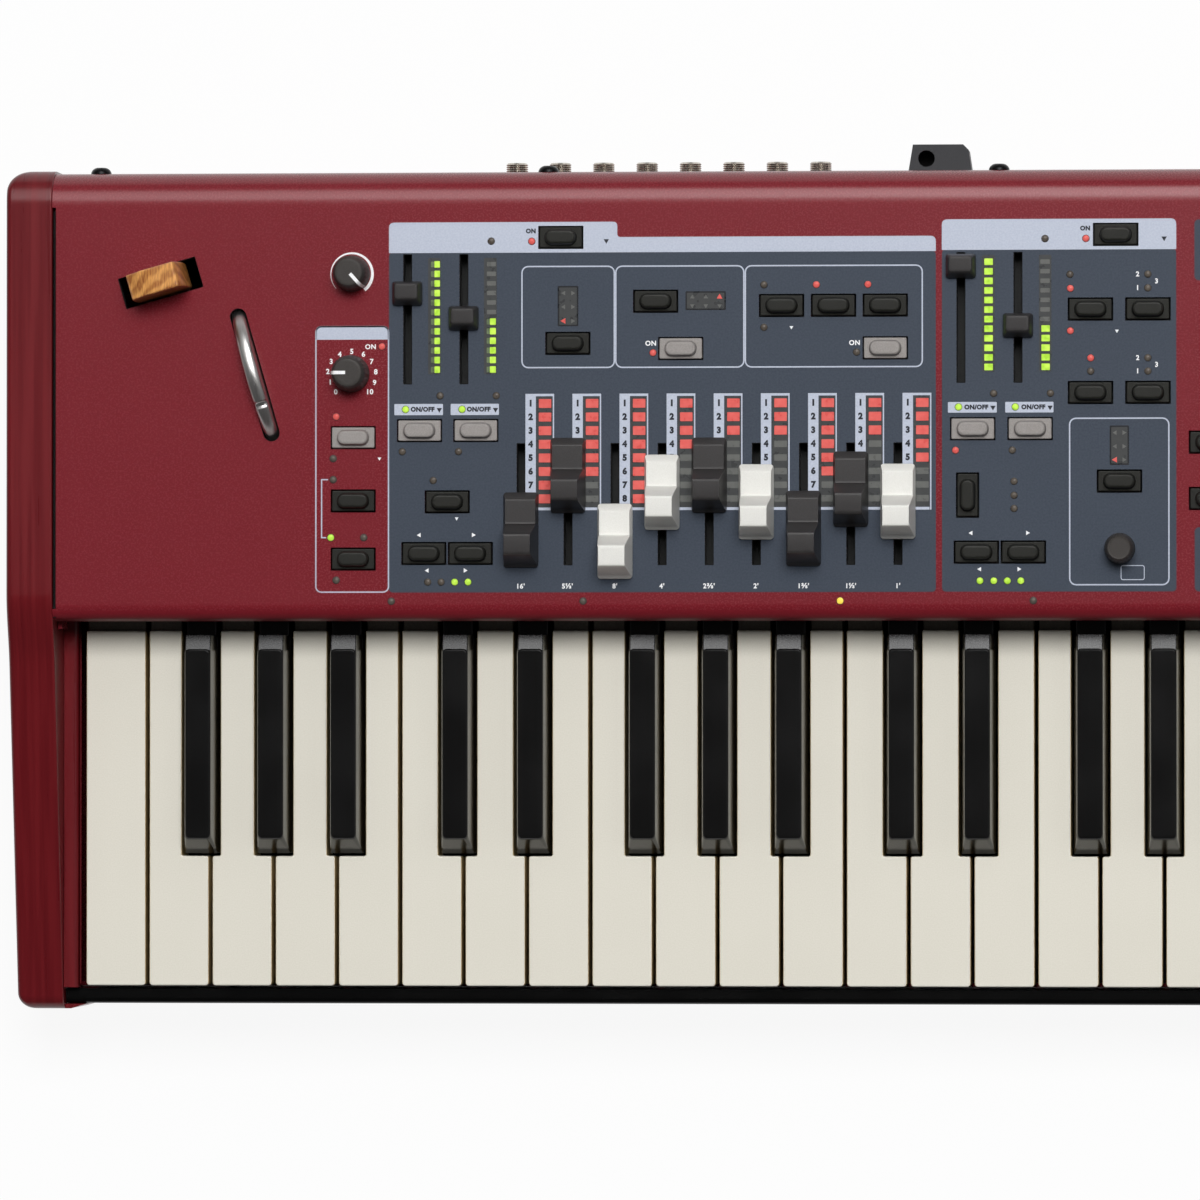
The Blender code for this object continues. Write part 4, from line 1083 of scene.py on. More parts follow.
def makeWheel():
    low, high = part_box("mod_wheel")
    middle = (low + high) / 2
    centreZ = middle.z / mm
    notch = math.radians(90 + wheel["notchAngle"])
    centre = Vector((math.cos(notch), math.sin(notch))) * wheel["notchReach"]
    # Half the angle that the notch takes out of the rim, seen from the wheel's centre
    reach, rim, cut = wheel["notchReach"], wheel["radius"], wheel["notchRadius"]
    half = math.acos((rim ** 2 + reach ** 2 - cut ** 2) / (2 * rim * reach))
    points = []
    for k in range(wheel["steps"] + 1):
        a = notch + half + (2 * math.pi - 2 * half) * k / wheel["steps"]
        points.append((rim * math.cos(a), rim * math.sin(a)))
    start, end = Vector(points[-1]) - centre, Vector(points[0]) - centre
    a0, a1 = math.atan2(start.y, start.x), math.atan2(end.y, end.x)
    inward = notch + math.pi
    # From the last rim point round the inner side of the notch back to the first
    sweep0 = (a0 - inward + math.pi) % (2 * math.pi) - math.pi
    sweep1 = (a1 - inward + math.pi) % (2 * math.pi) - math.pi
    for k in range(1, 6):
        a = inward + sweep0 + (sweep1 - sweep0) * k / 6
        points.append((centre.x + cut * math.cos(a), centre.y + cut * math.sin(a)))
    inner = circleFacing((0, 0), points, wheel["pin"])
    turn = Matrix.Translation((middle.x, middle.y, 0)) @ Matrix.Rotation(math.radians(stick["tilt"]), 4, "Z")
    # Toward the front is negative along the wheel's own depth, so the notch's outline is read that way
    lay = lambda outline, x: [turn @ (Vector((x, y, centreZ + z)) * mm) for y, z in outline]
    wide = wheel["width"] / 2
    outer = []
    for x, drop in wheel["tread"] + [(-x, drop) for x, drop in wheel["tread"][-2::-1]]:
        outer.append(lay([(y * (rim - drop) / rim, z * (rim - drop) / rim) for y, z in points], x))
    shape = bmesh.new()
    addRing(shape, outer, (lay(inner, -wide), lay(inner, wide)))
    evenly(finishPiece("modWheelDisc", shape, "satin turned steel", "mod_wheel", 0, 1,
                       ("mod_wheel",), 40))


makeStick()
makeWheel()
print("stick and wheel made")


# Openings in the panel, so that the print stops at their edges

slots = {"width": 3.3, "drawbarY": 44.3, "drawbarFirst": 171.5, "drawbarPitch": 17.25, "drawbarLength": 44.7,
         "faderY": 112.15, "faderLength": 47.7, "linerWall": 0.25, "linerTop": -0.15, "linerBottom": -5.5}
faderPlaces = [fromLeft(x, slots["faderY"]) for x in (129.8, 150.5, 332.5, 353.3)]
faderPlaces += [fromRight(x, slots["faderY"]) for x in faderColumns]
drawbarPlaces = [fromLeft(slots["drawbarFirst"] + slots["drawbarPitch"] * k, slots["drawbarY"]) for k in range(9)]


def panelOpenings():
    made = [(place, button["holeWidth"], button["holeDepth"])
            for kinds in buttonPlaces.values() for places in kinds.values() for place in places]
    made.append((uprightButton, button["holeDepth"], button["holeWidth"]))
    made += [(place, slots["width"], slots["drawbarLength"]) for place in drawbarPlaces]
    made += [(place, slots["width"], slots["faderLength"]) for place in faderPlaces]
    made += [(boxMiddle(name).xy, 7, 7) for name in (*knobAngles, *knobDials)]
    return made


openings = panelOpenings()


def holesIn(low, high):
    return [block(place, width, depth, 3.4 if width == 7 else 0.25, 4) for place, width, depth in openings
            if low.x < place.x < high.x and low.y < place.y < high.y]


def leaning(node):
    # The turn and place of the stick's and the wheel's openings
    middle = boxMiddle(node)
    return Matrix.Translation((middle.x, middle.y, 0)) @ Matrix.Rotation(math.radians(stick["tilt"]), 4, "Z")


def leaningHole(node, extra=0.0):
    # Outline of the stick's square or the wheel's round-ended opening, grown by this much on each side
    if node == "stick_bracket":
        outline = block(Vector((0, 0)), 29.7 + 2 * extra, 11.7 + 2 * extra, 0.3, 2)
    else:
        outline = block(Vector((0, 0)), 6.2 + 2 * extra, 50.6 + 2 * extra, 3.1 + extra, 10)
    return [(leaning(node) @ Vector((x, y, 0))).xy for x, y in outline]


def makeLiners():
    # Black liners clipped into the slots from below make each a deep black channel: painted shade on the slots' walls
    shape = bmesh.new()
    wall = slots["linerWall"]
    levels = panelTop + slots["linerBottom"] * mm, panelTop + slots["linerTop"] * mm
    pairs = []
    for places, length in ((drawbarPlaces, slots["drawbarLength"]), (faderPlaces, slots["faderLength"])):
        for place in places:
            pairs.append([block(place, slots["width"] - extra, length - extra, 0.2, 2) for extra in (0.04, 2 * wall)])
    for node in ("stick_bracket", "wheel_bracket"):
        pairs.append([leaningHole(node, -0.02), leaningHole(node, -0.15)])
    for outer, inner in pairs:
        lay = lambda outline, z: [(x, y, z) for x, y in outline]
        addRing(shape, [lay(outer, z) for z in levels], [lay(inner, z) for z in levels])
    finishPiece("slotShadeLiners", shape, "black felt, painted shade", angle=50)


# Top panel: one folded sheet from the lip over the flat to the rolled rear edge

panel = {"sheet": 1.5, "lipBottom": 84, "lipBack": 1.8, "lipSlant": 0.5, "lipRadius": 5.2, "lipAngle": 174,
         "roll": 12,
         "sidePlay": 0.03, "slotFront": 6.2, "slotRear": 12.95, "cheekInner": 512.9}


def rollPoint(a, inset=0.0):
    # The rolled edge bends slowly at first and then tighter, between the flat and the skirt
    bend = math.radians(a)
    size = panel["roll"]
    y, z = size * math.sin(bend) ** 0.85, size * (1 - math.cos(bend) ** 1.15)
    return panelHigh.y + (y - size) * mm - inset * math.sin(bend), panelTop - z * mm - inset * math.cos(bend)


def panelProfile(inset):
    # Outer side of the sheet, or the same line inset from it, from the lip's foot to the rear skirt's foot
    front, rear = panelLow.y + panel["lipBack"] * mm + inset, panelHigh.y - inset
    top, radius = panelTop - inset, panel["lipRadius"] * mm
    turn = math.radians(panel["lipAngle"])
    middle = front + panel["lipSlant"] * mm - radius * math.cos(turn), panelTop - radius
    points = [(front, panel["lipBottom"] * mm)]
    points += arcPoints(*middle, radius - inset, panel["lipAngle"], 90, 8)
    points.append((middle[0] + 0.5 * mm, top))
    points.append((panelHigh.y - (panel["roll"] + 0.5) * mm, top))
    points += [rollPoint(90 * k / 24, inset) for k in range(25)]
    points.append((rear, panelLow.z))
    return points


def makePanel():
    shape = bmesh.new()
    half = (panel["cheekInner"] - panel["sidePlay"]) * mm
    addSide(shape, panelProfile(0) + panelProfile(panel["sheet"] * mm)[::-1], -half, half)
    bmesh.ops.recalc_face_normals(shape, faces=shape.faces)
    sheet = bpy.data.meshes.new("sheet")
    shape.to_mesh(sheet)
    shape.free()
    made = bpy.data.objects.new("sheet", sheet)
    scene.collection.objects.link(made)
    tools = bmesh.new()
    low, high = panelTop - 3 * mm, panelTop + 3 * mm
    holes = [block(place, width, depth, 3.4 if width == 7 else 0.25, 4) for place, width, depth in openings]
    holes += [leaningHole(node) for node in ("stick_bracket", "wheel_bracket")]
    # The slots beside the cheeks stop short of the lip and of the rolled edge
    for side in (-1, 1):
        x0, x1 = sorted((side * panelHigh.x, side * (half + mm)))
        holes.append(strip(x0, panelLow.y + panel["slotFront"] * mm, x1, panelHigh.y - panel["slotRear"] * mm))
    for outline in holes:
        addPrism(tools, outline, low, high)
    bmesh.ops.recalc_face_normals(tools, faces=tools.faces)
    mesh = bpy.data.meshes.new("tools")
    tools.to_mesh(mesh)
    tools.free()
    cutter = bpy.data.objects.new("tools", mesh)
    scene.collection.objects.link(cutter)
    cut = made.modifiers.new("openings", "BOOLEAN")
    cut.solver = "EXACT"
    cut.operation = "DIFFERENCE"
    cut.object = cutter
    bpy.context.view_layer.update()
    result = bpy.data.meshes.new_from_object(made.evaluated_get(bpy.context.evaluated_depsgraph_get()))
    for item in (made, cutter):
        bpy.data.objects.remove(item, do_unlink=True)
    result.materials.clear()
    made = dress("topPanelSheet", result, "powder-coated steel, red", stands=("top_panel",),
                 angle=30)
    made.data.materials.append(looks["powder-coated steel, red, rubbed"])
    for face in made.data.polygons:
        if face.normal.y < -0.3 and face.center.y < panelLow.y + 8 * mm:
            face.material_index = 1
    evenly(made)


# Cheeks: solid beech, planed to the body's side line

cheek = {"inner": 512.9, "outer": 530, "front": -159.35, "rear": 149.65, "bottom": 9, "noseTop": 66, "noseRadius": 6,
         "frontCorner": 6, "rearCorner": 8, "roll": 12, "slopeRise": 0.1971, "kneeStart": -32, "kneeEnd": -6,
         "edge": 1.9, "innerEdge": 0.7, "tip": [(514, -157.65), (505.2, -157.65), (510.8, -159.35), (514, -159.35)]}


def cheekTop(y):
    # Height of the cheek's top along its length: nose, slope, gentle knee, flat, and the rolled rear
    front, rear, r = cheek["front"], cheek["rear"], cheek["noseRadius"]
    line = lambda at: cheek["noseTop"] + (at - front - r) * cheek["slopeRise"]
    if y < front + r:
        return cheek["noseTop"] - r + math.sqrt(max(0, r ** 2 - (front + r - y) ** 2))
    if y < cheek["kneeStart"]:
        return line(y)
    top = panelTop / mm
    if y < cheek["kneeEnd"]:
        span = cheek["kneeEnd"] - cheek["kneeStart"]
        t = (y - cheek["kneeStart"]) / span
        start = line(cheek["kneeStart"])
        return (2 * t ** 3 - 3 * t ** 2 + 1) * start + (t ** 3 - 2 * t ** 2 + t) * span * cheek["slopeRise"] \
            + (3 * t ** 2 - 2 * t ** 3) * top
    if y < rear - cheek["roll"]:
        return top
    return top - cheek["roll"] + math.sqrt(max(0, cheek["roll"] ** 2 - (y - rear + cheek["roll"]) ** 2))


def cheekOuter(y):
    # The outer face, which turns in at both ends
    for corner, into in ((cheek["frontCorner"], y - cheek["front"]), (cheek["rearCorner"], cheek["rear"] - y)):
        if into < corner:
            return cheek["outer"] - corner + math.sqrt(max(0, corner ** 2 - (corner - into) ** 2))
    return cheek["outer"]


def cheekSection(y):
    # Upright outline of (x, z) points across the cheek at one place along it
    top, outer, inner, bottom = cheekTop(y), cheekOuter(y), cheek["inner"], cheek["bottom"]
    r, small = cheek["edge"], cheek["innerEdge"]
    points = [(inner, bottom), (outer - 1, bottom), (outer - 0.3, bottom + 0.3), (outer, bottom + 1)]
    points += arcPoints(outer - r, top - r, r, 0, 90, 6)
    points += arcPoints(inner + small, top - small, small, 90, 180, 4)
    return points


def makeCheek(name, side):
    front, rear, knee = cheek["front"], cheek["rear"], cheek["kneeStart"]
    stations = [front + cheek["noseRadius"] * (1 - math.cos(math.radians(9 * k))) for k in range(11)]
    stations += [front + 12 + (knee - front - 12) * k / 12 for k in range(13)]
    stations += [knee + (cheek["kneeEnd"] - knee) * k / 12 for k in range(1, 13)]
    stations += [cheek["kneeEnd"] + (rear - 13 - cheek["kneeEnd"]) * k / 10 for k in range(1, 11)]
    stations += [rear - cheek["roll"] * (1 - math.sin(math.radians(90 * k / 16))) for k in range(17)]
    shape = bmesh.new()
    loops = [[shape.verts.new((side * x * mm, y * mm, z * mm)) for x, z in cheekSection(y)] for y in stations]
    for near, far in zip(loops, loops[1:]):
        for k in range(len(near)):
            j = (k + 1) % len(near)
            shape.faces.new((near[k], near[j], far[j], far[k]))
    shape.faces.new(loops[0])
    shape.faces.new(list(reversed(loops[-1])))
    # The tip that closes the end of the slip
    tip = [(side * x * mm, y * mm) for x, y in cheek["tip"]]
    addPrism(shape, tip, cheek["bottom"] * mm, (cheek["noseTop"] - cheek["noseRadius"]) * mm)
    node = name + "_cheek"
    made = finishPiece(name + "CheekWood", shape, "stained beech, satin lacquer", stands=(node,),
                       angle=38)
    evenly(made)


endBlock = {"inner": 507.5, "outer": 512.8, "bottom": 58.02, "top": 64.6, "radius": 1.7, "front": -151.4}


def makeEndBlocks():
    # Painted blocks at both ends of the keys, on the pan's flanges
    shape = bmesh.new()
    inner, outer, r = endBlock["inner"], endBlock["outer"], endBlock["radius"]
    outline = [(outer, endBlock["bottom"]), (outer, endBlock["top"])]
    outline += arcPoints(inner + r, endBlock["top"] - r, r, 90, 180, 6)
    outline.append((inner, endBlock["bottom"]))
    for side in (-1, 1):
        addAlong(shape, [(side * x * mm, z * mm) for x, z in outline], endBlock["front"] * mm, panelLow.y + 2 * mm)
    finishPiece("keyEndBlocks", shape, "stained beech, satin lacquer")


makePanel()
makeCheek("left", -1)
makeCheek("right", 1)
makeEndBlocks()
print("panel and cheeks made")
makeLiners()


# Print on the panel. Places are pixels of the photograph, left, top, right, bottom

organPrint = {
    "field": (389, 252, 936, 592),
    "header": [(389, 222), (618, 222), (618, 237.3), (936, 237.3), (936, 252.6), (389, 252.6)],
    "frames": [(522.5, 266.5, 615, 367.5), (616.5, 266.5, 744.5, 367.5), (746, 266.5, 922.5, 367.5)],
    "onBars": [(394.5, 403.5, 443.3, 414.7), (451, 403.5, 499.4, 414.7)],
    "onLamps": [(405.7, 409), (462.4, 409)],
}
pianoPrint = {
    "field": (942, 251, 1175, 591.8),
    "header": [(942, 221), (1175, 221), (1175, 251.6), (942, 251.6)],
    "frames": [(1069, 419.5, 1167.5, 585)],
    "listFrame": (1120, 566, 1143, 580),
    "onBars": [(948, 403, 996.6, 413.6), (1005, 403, 1053, 413.6)],
    "onLamps": [(958.5, 408), (1015, 408)],
}
rotaryPrint = {
    "frame": (315.6, 326, 388.6, 591.5),
    "header": (315.6, 325.2, 388.6, 339),
    "bracket": [(328, 479), (321.4, 479), (321.4, 537), (326, 537)],
    "numbers": [(335.6, 391.4), (330, 381.6), (327.6, 371), (331, 361), (339.6, 353.8), (351.7, 351),
                (363.4, 353.8), (371.6, 361.2), (375.8, 371.5), (374.6, 382.2), (369.6, 391.4)],
}
ladderPrint = {"firstX": 526, "pitch": 47.1, "top": 393.7, "bottom": 509.5, "numberWidth": 10.4, "windowLeft": 12.2,
               "windowRight": 27.0, "width": 28.7, "lampLeft": 13.4, "lampRight": 26.0, "lampHeight": 9,
               "firstLamp": 403.4, "lampPitch": 13.6, "lit": (8, 6, 8, 4, 3, 3, 6, 3, 5)}
fieldRadius = 1.6


def area(left, top, right, bottom):
    return spot(left, bottom), spot(right, top)


def openCorners(points, radii):
    # An outline of sharp corners with each corner rounded by its own radius, or left sharp where that is 0
    made = []
    count = len(points)
    for k, radius in enumerate(radii):
        before, at, after = (Vector(points[(k + n) % count]) for n in (-1, 0, 1))
        if not radius:
            made.append(tuple(at))
            continue
        start = at + (before - at).normalized() * radius * mm
        end = at + (after - at).normalized() * radius * mm
        for n in range(5):
            t = n / 4
            made.append(tuple(start * (1 - t) ** 2 + at * 2 * t * (1 - t) + end * t ** 2))
    return made


def stroke(points, width):
    # A line of this width along the points, as a closed outline
    half = width * mm / 2
    left, right = [], []
    for k, point in enumerate(points):
        at = Vector(point)
        ways = [Vector(b) - Vector(a) for a, b in ((points[k - 1], point),) if k > 0]
        ways += [Vector(points[k + 1]) - at] if k < len(points) - 1 else []
        ways = [way.normalized() for way in ways]
        normal = sum((Vector((-way.y, way.x)) for way in ways), Vector((0, 0))).normalized()
        scale = half / max(0.3, normal.dot(Vector((-ways[0].y, ways[0].x))))
        left.append(tuple(at + normal * scale))
        right.append(tuple(at - normal * scale))
    return left + right[::-1]


rightPrint = {
    "displayField": (fromLeft(417.5, 125.4), fromLeft(530, 147.6)),
    "dialField": (fromLeft(417.5, 12.1), fromLeft(530, 35.5)),
    "synthField": (fromRight(473.5, 12.1), fromRight(247, 147.6)),
    "effectField": (fromRight(233.5, 12.1), fromRight(33.5, 147.6)),
    "headerDepth": 11.2,
}


def synthFrames():
    low, high = rightPrint["synthField"]
    return [
        (fromRight(397, 84), fromRight(369, 133.5)),
        (fromRight(366.6, 84), fromRight(276, 133.5)),
        (fromRight(273.6, 84), fromRight(250, 133.5)),
    ]


def makeFields():
    slate, pale = [], []
    organ, piano = area(*organPrint["field"]), area(*pianoPrint["field"])
    for low, high in (organ, piano, rightPrint["synthField"], rightPrint["effectField"]):
        corners = [(high.x, high.y), (low.x, high.y), (low.x, low.y), (high.x, low.y)]
        slate.append(openCorners(corners, (fieldRadius, fieldRadius, fieldRadius, fieldRadius)))
        slate += holesIn(low, high)
    for low, high in (rightPrint["displayField"], rightPrint["dialField"]):
        slate.append(roundedBox(low, high, fieldRadius * mm))
        slate += holesIn(low, high)
    inkSheet("slateFields", slate, "slate screen print", inkLevels["field"])
    organHeader = openCorners([spot(*p) for p in organPrint["header"]], (2, 1.6, 1.2, 2, 0, 0))
    pianoHeader = openCorners([spot(*p) for p in pianoPrint["header"]], (2, 2, 0, 0))
    pale += [organHeader, pianoHeader]
    for low, high in (rightPrint["synthField"], rightPrint["effectField"]):
        base = Vector((low.x, high.y - rightPrint["headerDepth"] * mm))
        corners = [(low.x, high.y), (high.x, high.y), (high.x, base.y), (low.x, base.y)]
        pale.append(openCorners(corners, (2, 2, 0, 0)))
    pale += [outline for place in (fromLeft(186.1, 141.95), fromLeft(388.9, 142.25))
             for outline in holesIn(place - Vector((mm, mm)), place + Vector((mm, mm)))]
    rotaryLow, rotaryHigh = area(*rotaryPrint["header"])
    corners = [(rotaryLow.x, rotaryHigh.y), (rotaryHigh.x, rotaryHigh.y), (rotaryHigh.x, rotaryLow.y),
               (rotaryLow.x, rotaryLow.y)]
    pale.append(openCorners(corners, (2, 2, 0, 0)))
    for bars in (organPrint["onBars"], pianoPrint["onBars"]):
        pale += [roundedBox(*area(*bar), 0.25 * mm, 2) for bar in bars]
    inkSheet("paleFields", pale, "pale screen print", inkLevels["pale"])


def makeFrames():
    lines = []
    low, high = area(*rotaryPrint["frame"])
    lines += frameLine(low, high, 2.0, 0.5)
    for frames in (organPrint["frames"], pianoPrint["frames"]):
        for place in frames:
            lines += frameLine(*area(*place), 2.3, 0.5)
    lines += frameLine(*area(*pianoPrint["listFrame"]), 0.7, 0.3)
    for low, high in synthFrames():
        lines += frameLine(low, high, 2.3, 0.5)
    for x in effectColumns:
        lines += frameLine(fromRight(x + 18.5, 36.5), fromRight(x - 18.5, 133.5), 2.3, 0.5)
    lines.append(stroke([spot(*p) for p in rotaryPrint["bracket"]], 0.45))
    inkSheet("frameLines", lines, "pale screen print", inkLevels["pale"])


def arcWedge(middle, radius, start, end, thin, thick, steps=40):
    # A printed arc round a knob that grows from thin to thick
    outer, inner = [], []
    for k in range(steps + 1):
        a = math.radians(start + (end - start) * k / steps)
        width = thin + (thick - thin) * k / steps
        outer.append((middle.x + radius * mm * math.cos(a), middle.y + radius * mm * math.sin(a)))
        inner.append((middle.x + (radius - width) * mm * math.cos(a), middle.y + (radius - width) * mm * math.sin(a)))
    return outer + inner[::-1]


def addWords(shape, words, place, height, bold=0.0, lineGap=1.0, align="CENTER"):
    # The built-in font, whose capitals are about 0.73 of its size
    text = bpy.data.curves.new("words", "FONT")
    text.body = words
    text.size = height * mm / 0.73
    text.align_x = align
    text.align_y = "CENTER"
    text.space_line = lineGap
    text.offset = bold * mm
    text.space_character = 1.1
    text.extrude = 0.01 * mm
    text.resolution_u = 3
    drawn = bpy.data.objects.new("words", text)
    scene.collection.objects.link(drawn)
    bpy.context.view_layer.update()
    mesh = bpy.data.meshes.new_from_object(drawn.evaluated_get(bpy.context.evaluated_depsgraph_get()))
    bpy.data.objects.remove(drawn, do_unlink=True)
    bpy.data.curves.remove(text)
    mesh.transform(Matrix.Translation((place.x, place.y, panelTop + inkLevels["dark"] * mm)))
    shape.from_mesh(mesh)
    bpy.data.meshes.remove(mesh)


def triangle(place, size, way):
    # A small filled arrowhead that points up, down, left or right
    turn = {"right": 0, "up": 90, "left": 180, "down": 270}[way]
    points = []
    for k in range(3):
        a = math.radians(turn + 120 * k)
        points.append((place.x + size * mm * math.cos(a), place.y + size * mm * math.sin(a)))
    return points


def dialNumbers(shape, knob, reach, low=0, high=10, height=2.0):
    # Numbers round a knob, from the lower left over the top to the lower right
    middle = boxMiddle(knob).xy
    for value in range(low, high + 1):
        a = math.radians(228 - 276 * (value - low) / (high - low))
        addWords(shape, str(value), middle + Vector((math.cos(a), math.sin(a))) * reach * mm, height, 0.04)


def makeWhitePrint():
    marks = [arcWedge(spot(352, 273.4), 8.0, 222, -52, 0.15, 1.25)]
    arrows = [((419.6, 534.6), "left"), ((473.6, 534.6), "right"), ((427.6, 570), "left"), ((465.4, 570), "right"),
              ((971, 533.4), "left"), ((1027, 533.4), "right"), ((979.6, 569.4), "left"), ((1018.4, 569.4), "right")]
    marks += [triangle(spot(*place), 0.95, way) for place, way in arrows]
    marks += [triangle(spot(*place), 0.8, "down") for place in ((457, 518), (792, 328), (1116, 332.6), (379.5, 458))]
    # Octave arrows under the synth's last buttons
    for x in (synthColumns[6], synthColumns[7]):
        marks.append(triangle(fromRight(x, rowFront + 7.2), 0.95, "left" if x == synthColumns[6] else "right"))
    inkSheet("whiteMarks", marks, "white screen print", inkLevels["dark"])
    shape = bmesh.new()
    for value, place in enumerate(rotaryPrint["numbers"]):
        addWords(shape, str(value), spot(*place), 1.9, 0.09)
    for knob in ("filter_knob", "reverb_knob"):
        dialNumbers(shape, knob, 9.6)
    for words, place in (
        ("ON", (370.6, 346.4)), ("ON", (651.5, 343.8)), ("ON", (855, 343.8)),
        ("2", (1136.6, 276.4)), ("1", (1136.6, 290)), ("3", (1155.4, 283.4)),
        ("2", (1136.6, 359.6)), ("1", (1136.6, 372.8)), ("3", (1155.4, 366.4)),
        ("16'", (521, 586)), ("5⅓'", (568, 586)), ("8'", (615.5, 586)), ("4'", (662.6, 586)),
        ("2⅔'", (709.6, 586)), ("2'", (756.6, 586)), ("1⅗'", (803.8, 586)), ("1⅓'", (851, 586)),
        ("1'", (898, 586)),
    ):
        addWords(shape, words, spot(*place), 1.8, 0.08)
    for column, x in enumerate(effectColumns):
        addWords(shape, "ON", fromRight(x + 11.5, 53.4), 1.7, 0.05)
    for column in range(6):
        for row, y in enumerate((66.45, 45.95)):
            addWords(shape, str(1 + column + 6 * row), fromLeft(423.7 + 20 * column, y - 6.6), 1.9, 0.05)
    finishPiece("whiteNumbers", shape, "white screen print")


def makeDarkPrint():
    shape = bmesh.new()
    for bars in (organPrint["onBars"], pianoPrint["onBars"]):
        for left, top, right, bottom in bars:
            addWords(shape, "ON/OFF", spot((left + right) / 2 + 3.9, (top + bottom) / 2), 1.62, 0.15)
    for place in ((531.4, 231.2), (1084.6, 230.6)):
        addWords(shape, "ON", spot(*place), 1.6, 0.14)
    low, high = rightPrint["synthField"]
    addWords(shape, "ON", Vector((high.x - 30 * mm, high.y - 3.6 * mm)), 1.85, 0.13)
    for k in range(9):
        x = ladderPrint["firstX"] + ladderPrint["pitch"] * k + ladderPrint["numberWidth"] / 2
        y = ladderPrint["firstLamp"] + 3.5 * ladderPrint["lampPitch"]
        height = 2.25
        gap = ladderPrint["lampPitch"] / photo["pixelsPerMm"] / (height / 0.73)
        addWords(shape, "\n".join("12345678"), spot(x, y), height, 0.2, gap)
    finishPiece("darkNumbers", shape, "dark screen print")
    marks = [triangle(spot(x, y), 1.15, "down") for x, y in ((439.6, 409.2), (496, 409.2), (992.8, 408.4),
                                                              (1049.6, 408.4), (607, 241), (1163, 240.6))]
    inkSheet("darkMarks", marks, "dark screen print", inkLevels["dark"])


def makeLadderPrint():
    pale = []
    for k in range(9):
        x = ladderPrint["firstX"] + ladderPrint["pitch"] * k
        top, bottom = ladderPrint["top"], ladderPrint["bottom"]
        width = ladderPrint["width"]
        # The number strip, the line over the top and down the right side, and the heavier base line
        pale.append([tuple(spot(*p)) for p in (
            (x, bottom + 0.5), (x, top), (x + width, top), (x + width, bottom + 0.5), (x + width - 1.3, bottom + 0.5),
            (x + width - 1.3, top + 2.4), (x + ladderPrint["numberWidth"], top + 2.4),
            (x + ladderPrint["numberWidth"], bottom + 0.5),
        )])
        pale.append(strip(*spot(x + ladderPrint["numberWidth"] + 0.6, bottom + 0.5),
                          *spot(x + width - 1.9, bottom - 2.2)))
    inkSheet("ladderPrint", pale, "pale screen print", inkLevels["pale"])


makeFields()
makeFrames()
makeWhitePrint()
makeDarkPrint()
makeLadderPrint()
print("print made")


# Lamps: round lamps in the panel, and windows with rows of segments

lamp = {"radius": 1.25, "rise": 0.55, "rim": 0.16, "steps": 14}
segments = {"windowTop": 0.1, "lampTop": 0.28, "rimWidth": 0.55}

lampPlaces = {
    "red": [(382, 346), (336, 416), (532.3, 241.3), (653.7, 353), (816.9, 285.5), (868.3, 285.5), (1085.3, 240.6),
            (1069.8, 290.2), (1069.8, 332.4), (1090, 359.5), (955.5, 451)],
    "green": [(330.6, 537), (405.7, 409), (462.4, 409), (455, 581.6), (468.4, 581.6), (958.5, 408), (1015, 408),
              (979.8, 581), (993.5, 581), (1007, 581), (1020.4, 581)],
    "yellow": [(840.5, 600.7)],
    "dark": [(333, 458), (333, 479), (363.7, 537), (336, 579.6), (491.7, 241), (764.6, 285.5), (764.6, 328),
             (857, 353), (440.4, 395.4), (496.7, 395.4), (402.4, 451.2), (458.8, 451.2), (433.5, 480), (428, 581.6),
             (441.4, 581.6), (391.4, 600.7), (583.7, 600.7), (1032.8, 600.7), (1044.7, 240.6), (1069.5, 276.3),
             (1146.8, 276.3), (1146.8, 290), (1146.8, 359.5), (1146.8, 372.7), (1090, 372.7), (993.5, 394.5),
             (1050, 394.5), (1012, 451), (1013.7, 482), (1013.7, 496), (1013.7, 509)],
}
rowLadders = [
    # Window left, top, right, bottom, then lamp left and right, first lamp, pitch, and lamps lit from the bottom
    {"window": (428.4, 257.6, 441.2, 374), "lamp": (434.7, 440.3), "first": 264, "pitch": 9.57, "lit": 12},
    {"window": (484.4, 257.6, 497.2, 374), "lamp": (490.3, 496.4), "first": 264, "pitch": 9.57, "lit": 6},
    {"window": (982, 256.6, 994.6, 373), "lamp": (984.2, 992.8), "first": 263.5, "pitch": 9.52, "lit": 12},
    {"window": (1038.6, 256.6, 1051, 373), "lamp": (1041, 1049.4), "first": 263.5, "pitch": 9.52, "lit": 5},
]
matrices = [
    {"window": (558.3, 286, 579, 326.3), "columns": (564.4, 573.2), "rows": (293.2, 307, 321),
     "ways": ("left", "right"), "lit": (0, 2), "across": True},
    {"window": (686.2, 291.8, 726.6, 310.6), "columns": (693, 706.5, 720.3), "rows": (297.6, 306.2),
     "ways": ("up", "down"), "lit": (2, 0), "across": False},
    {"window": (1108.8, 426.8, 1128, 466), "columns": (1114.3, 1122.8), "rows": (433.9, 447.5, 460.8),
     "ways": ("left", "right"), "lit": (0, 2), "across": True},
]


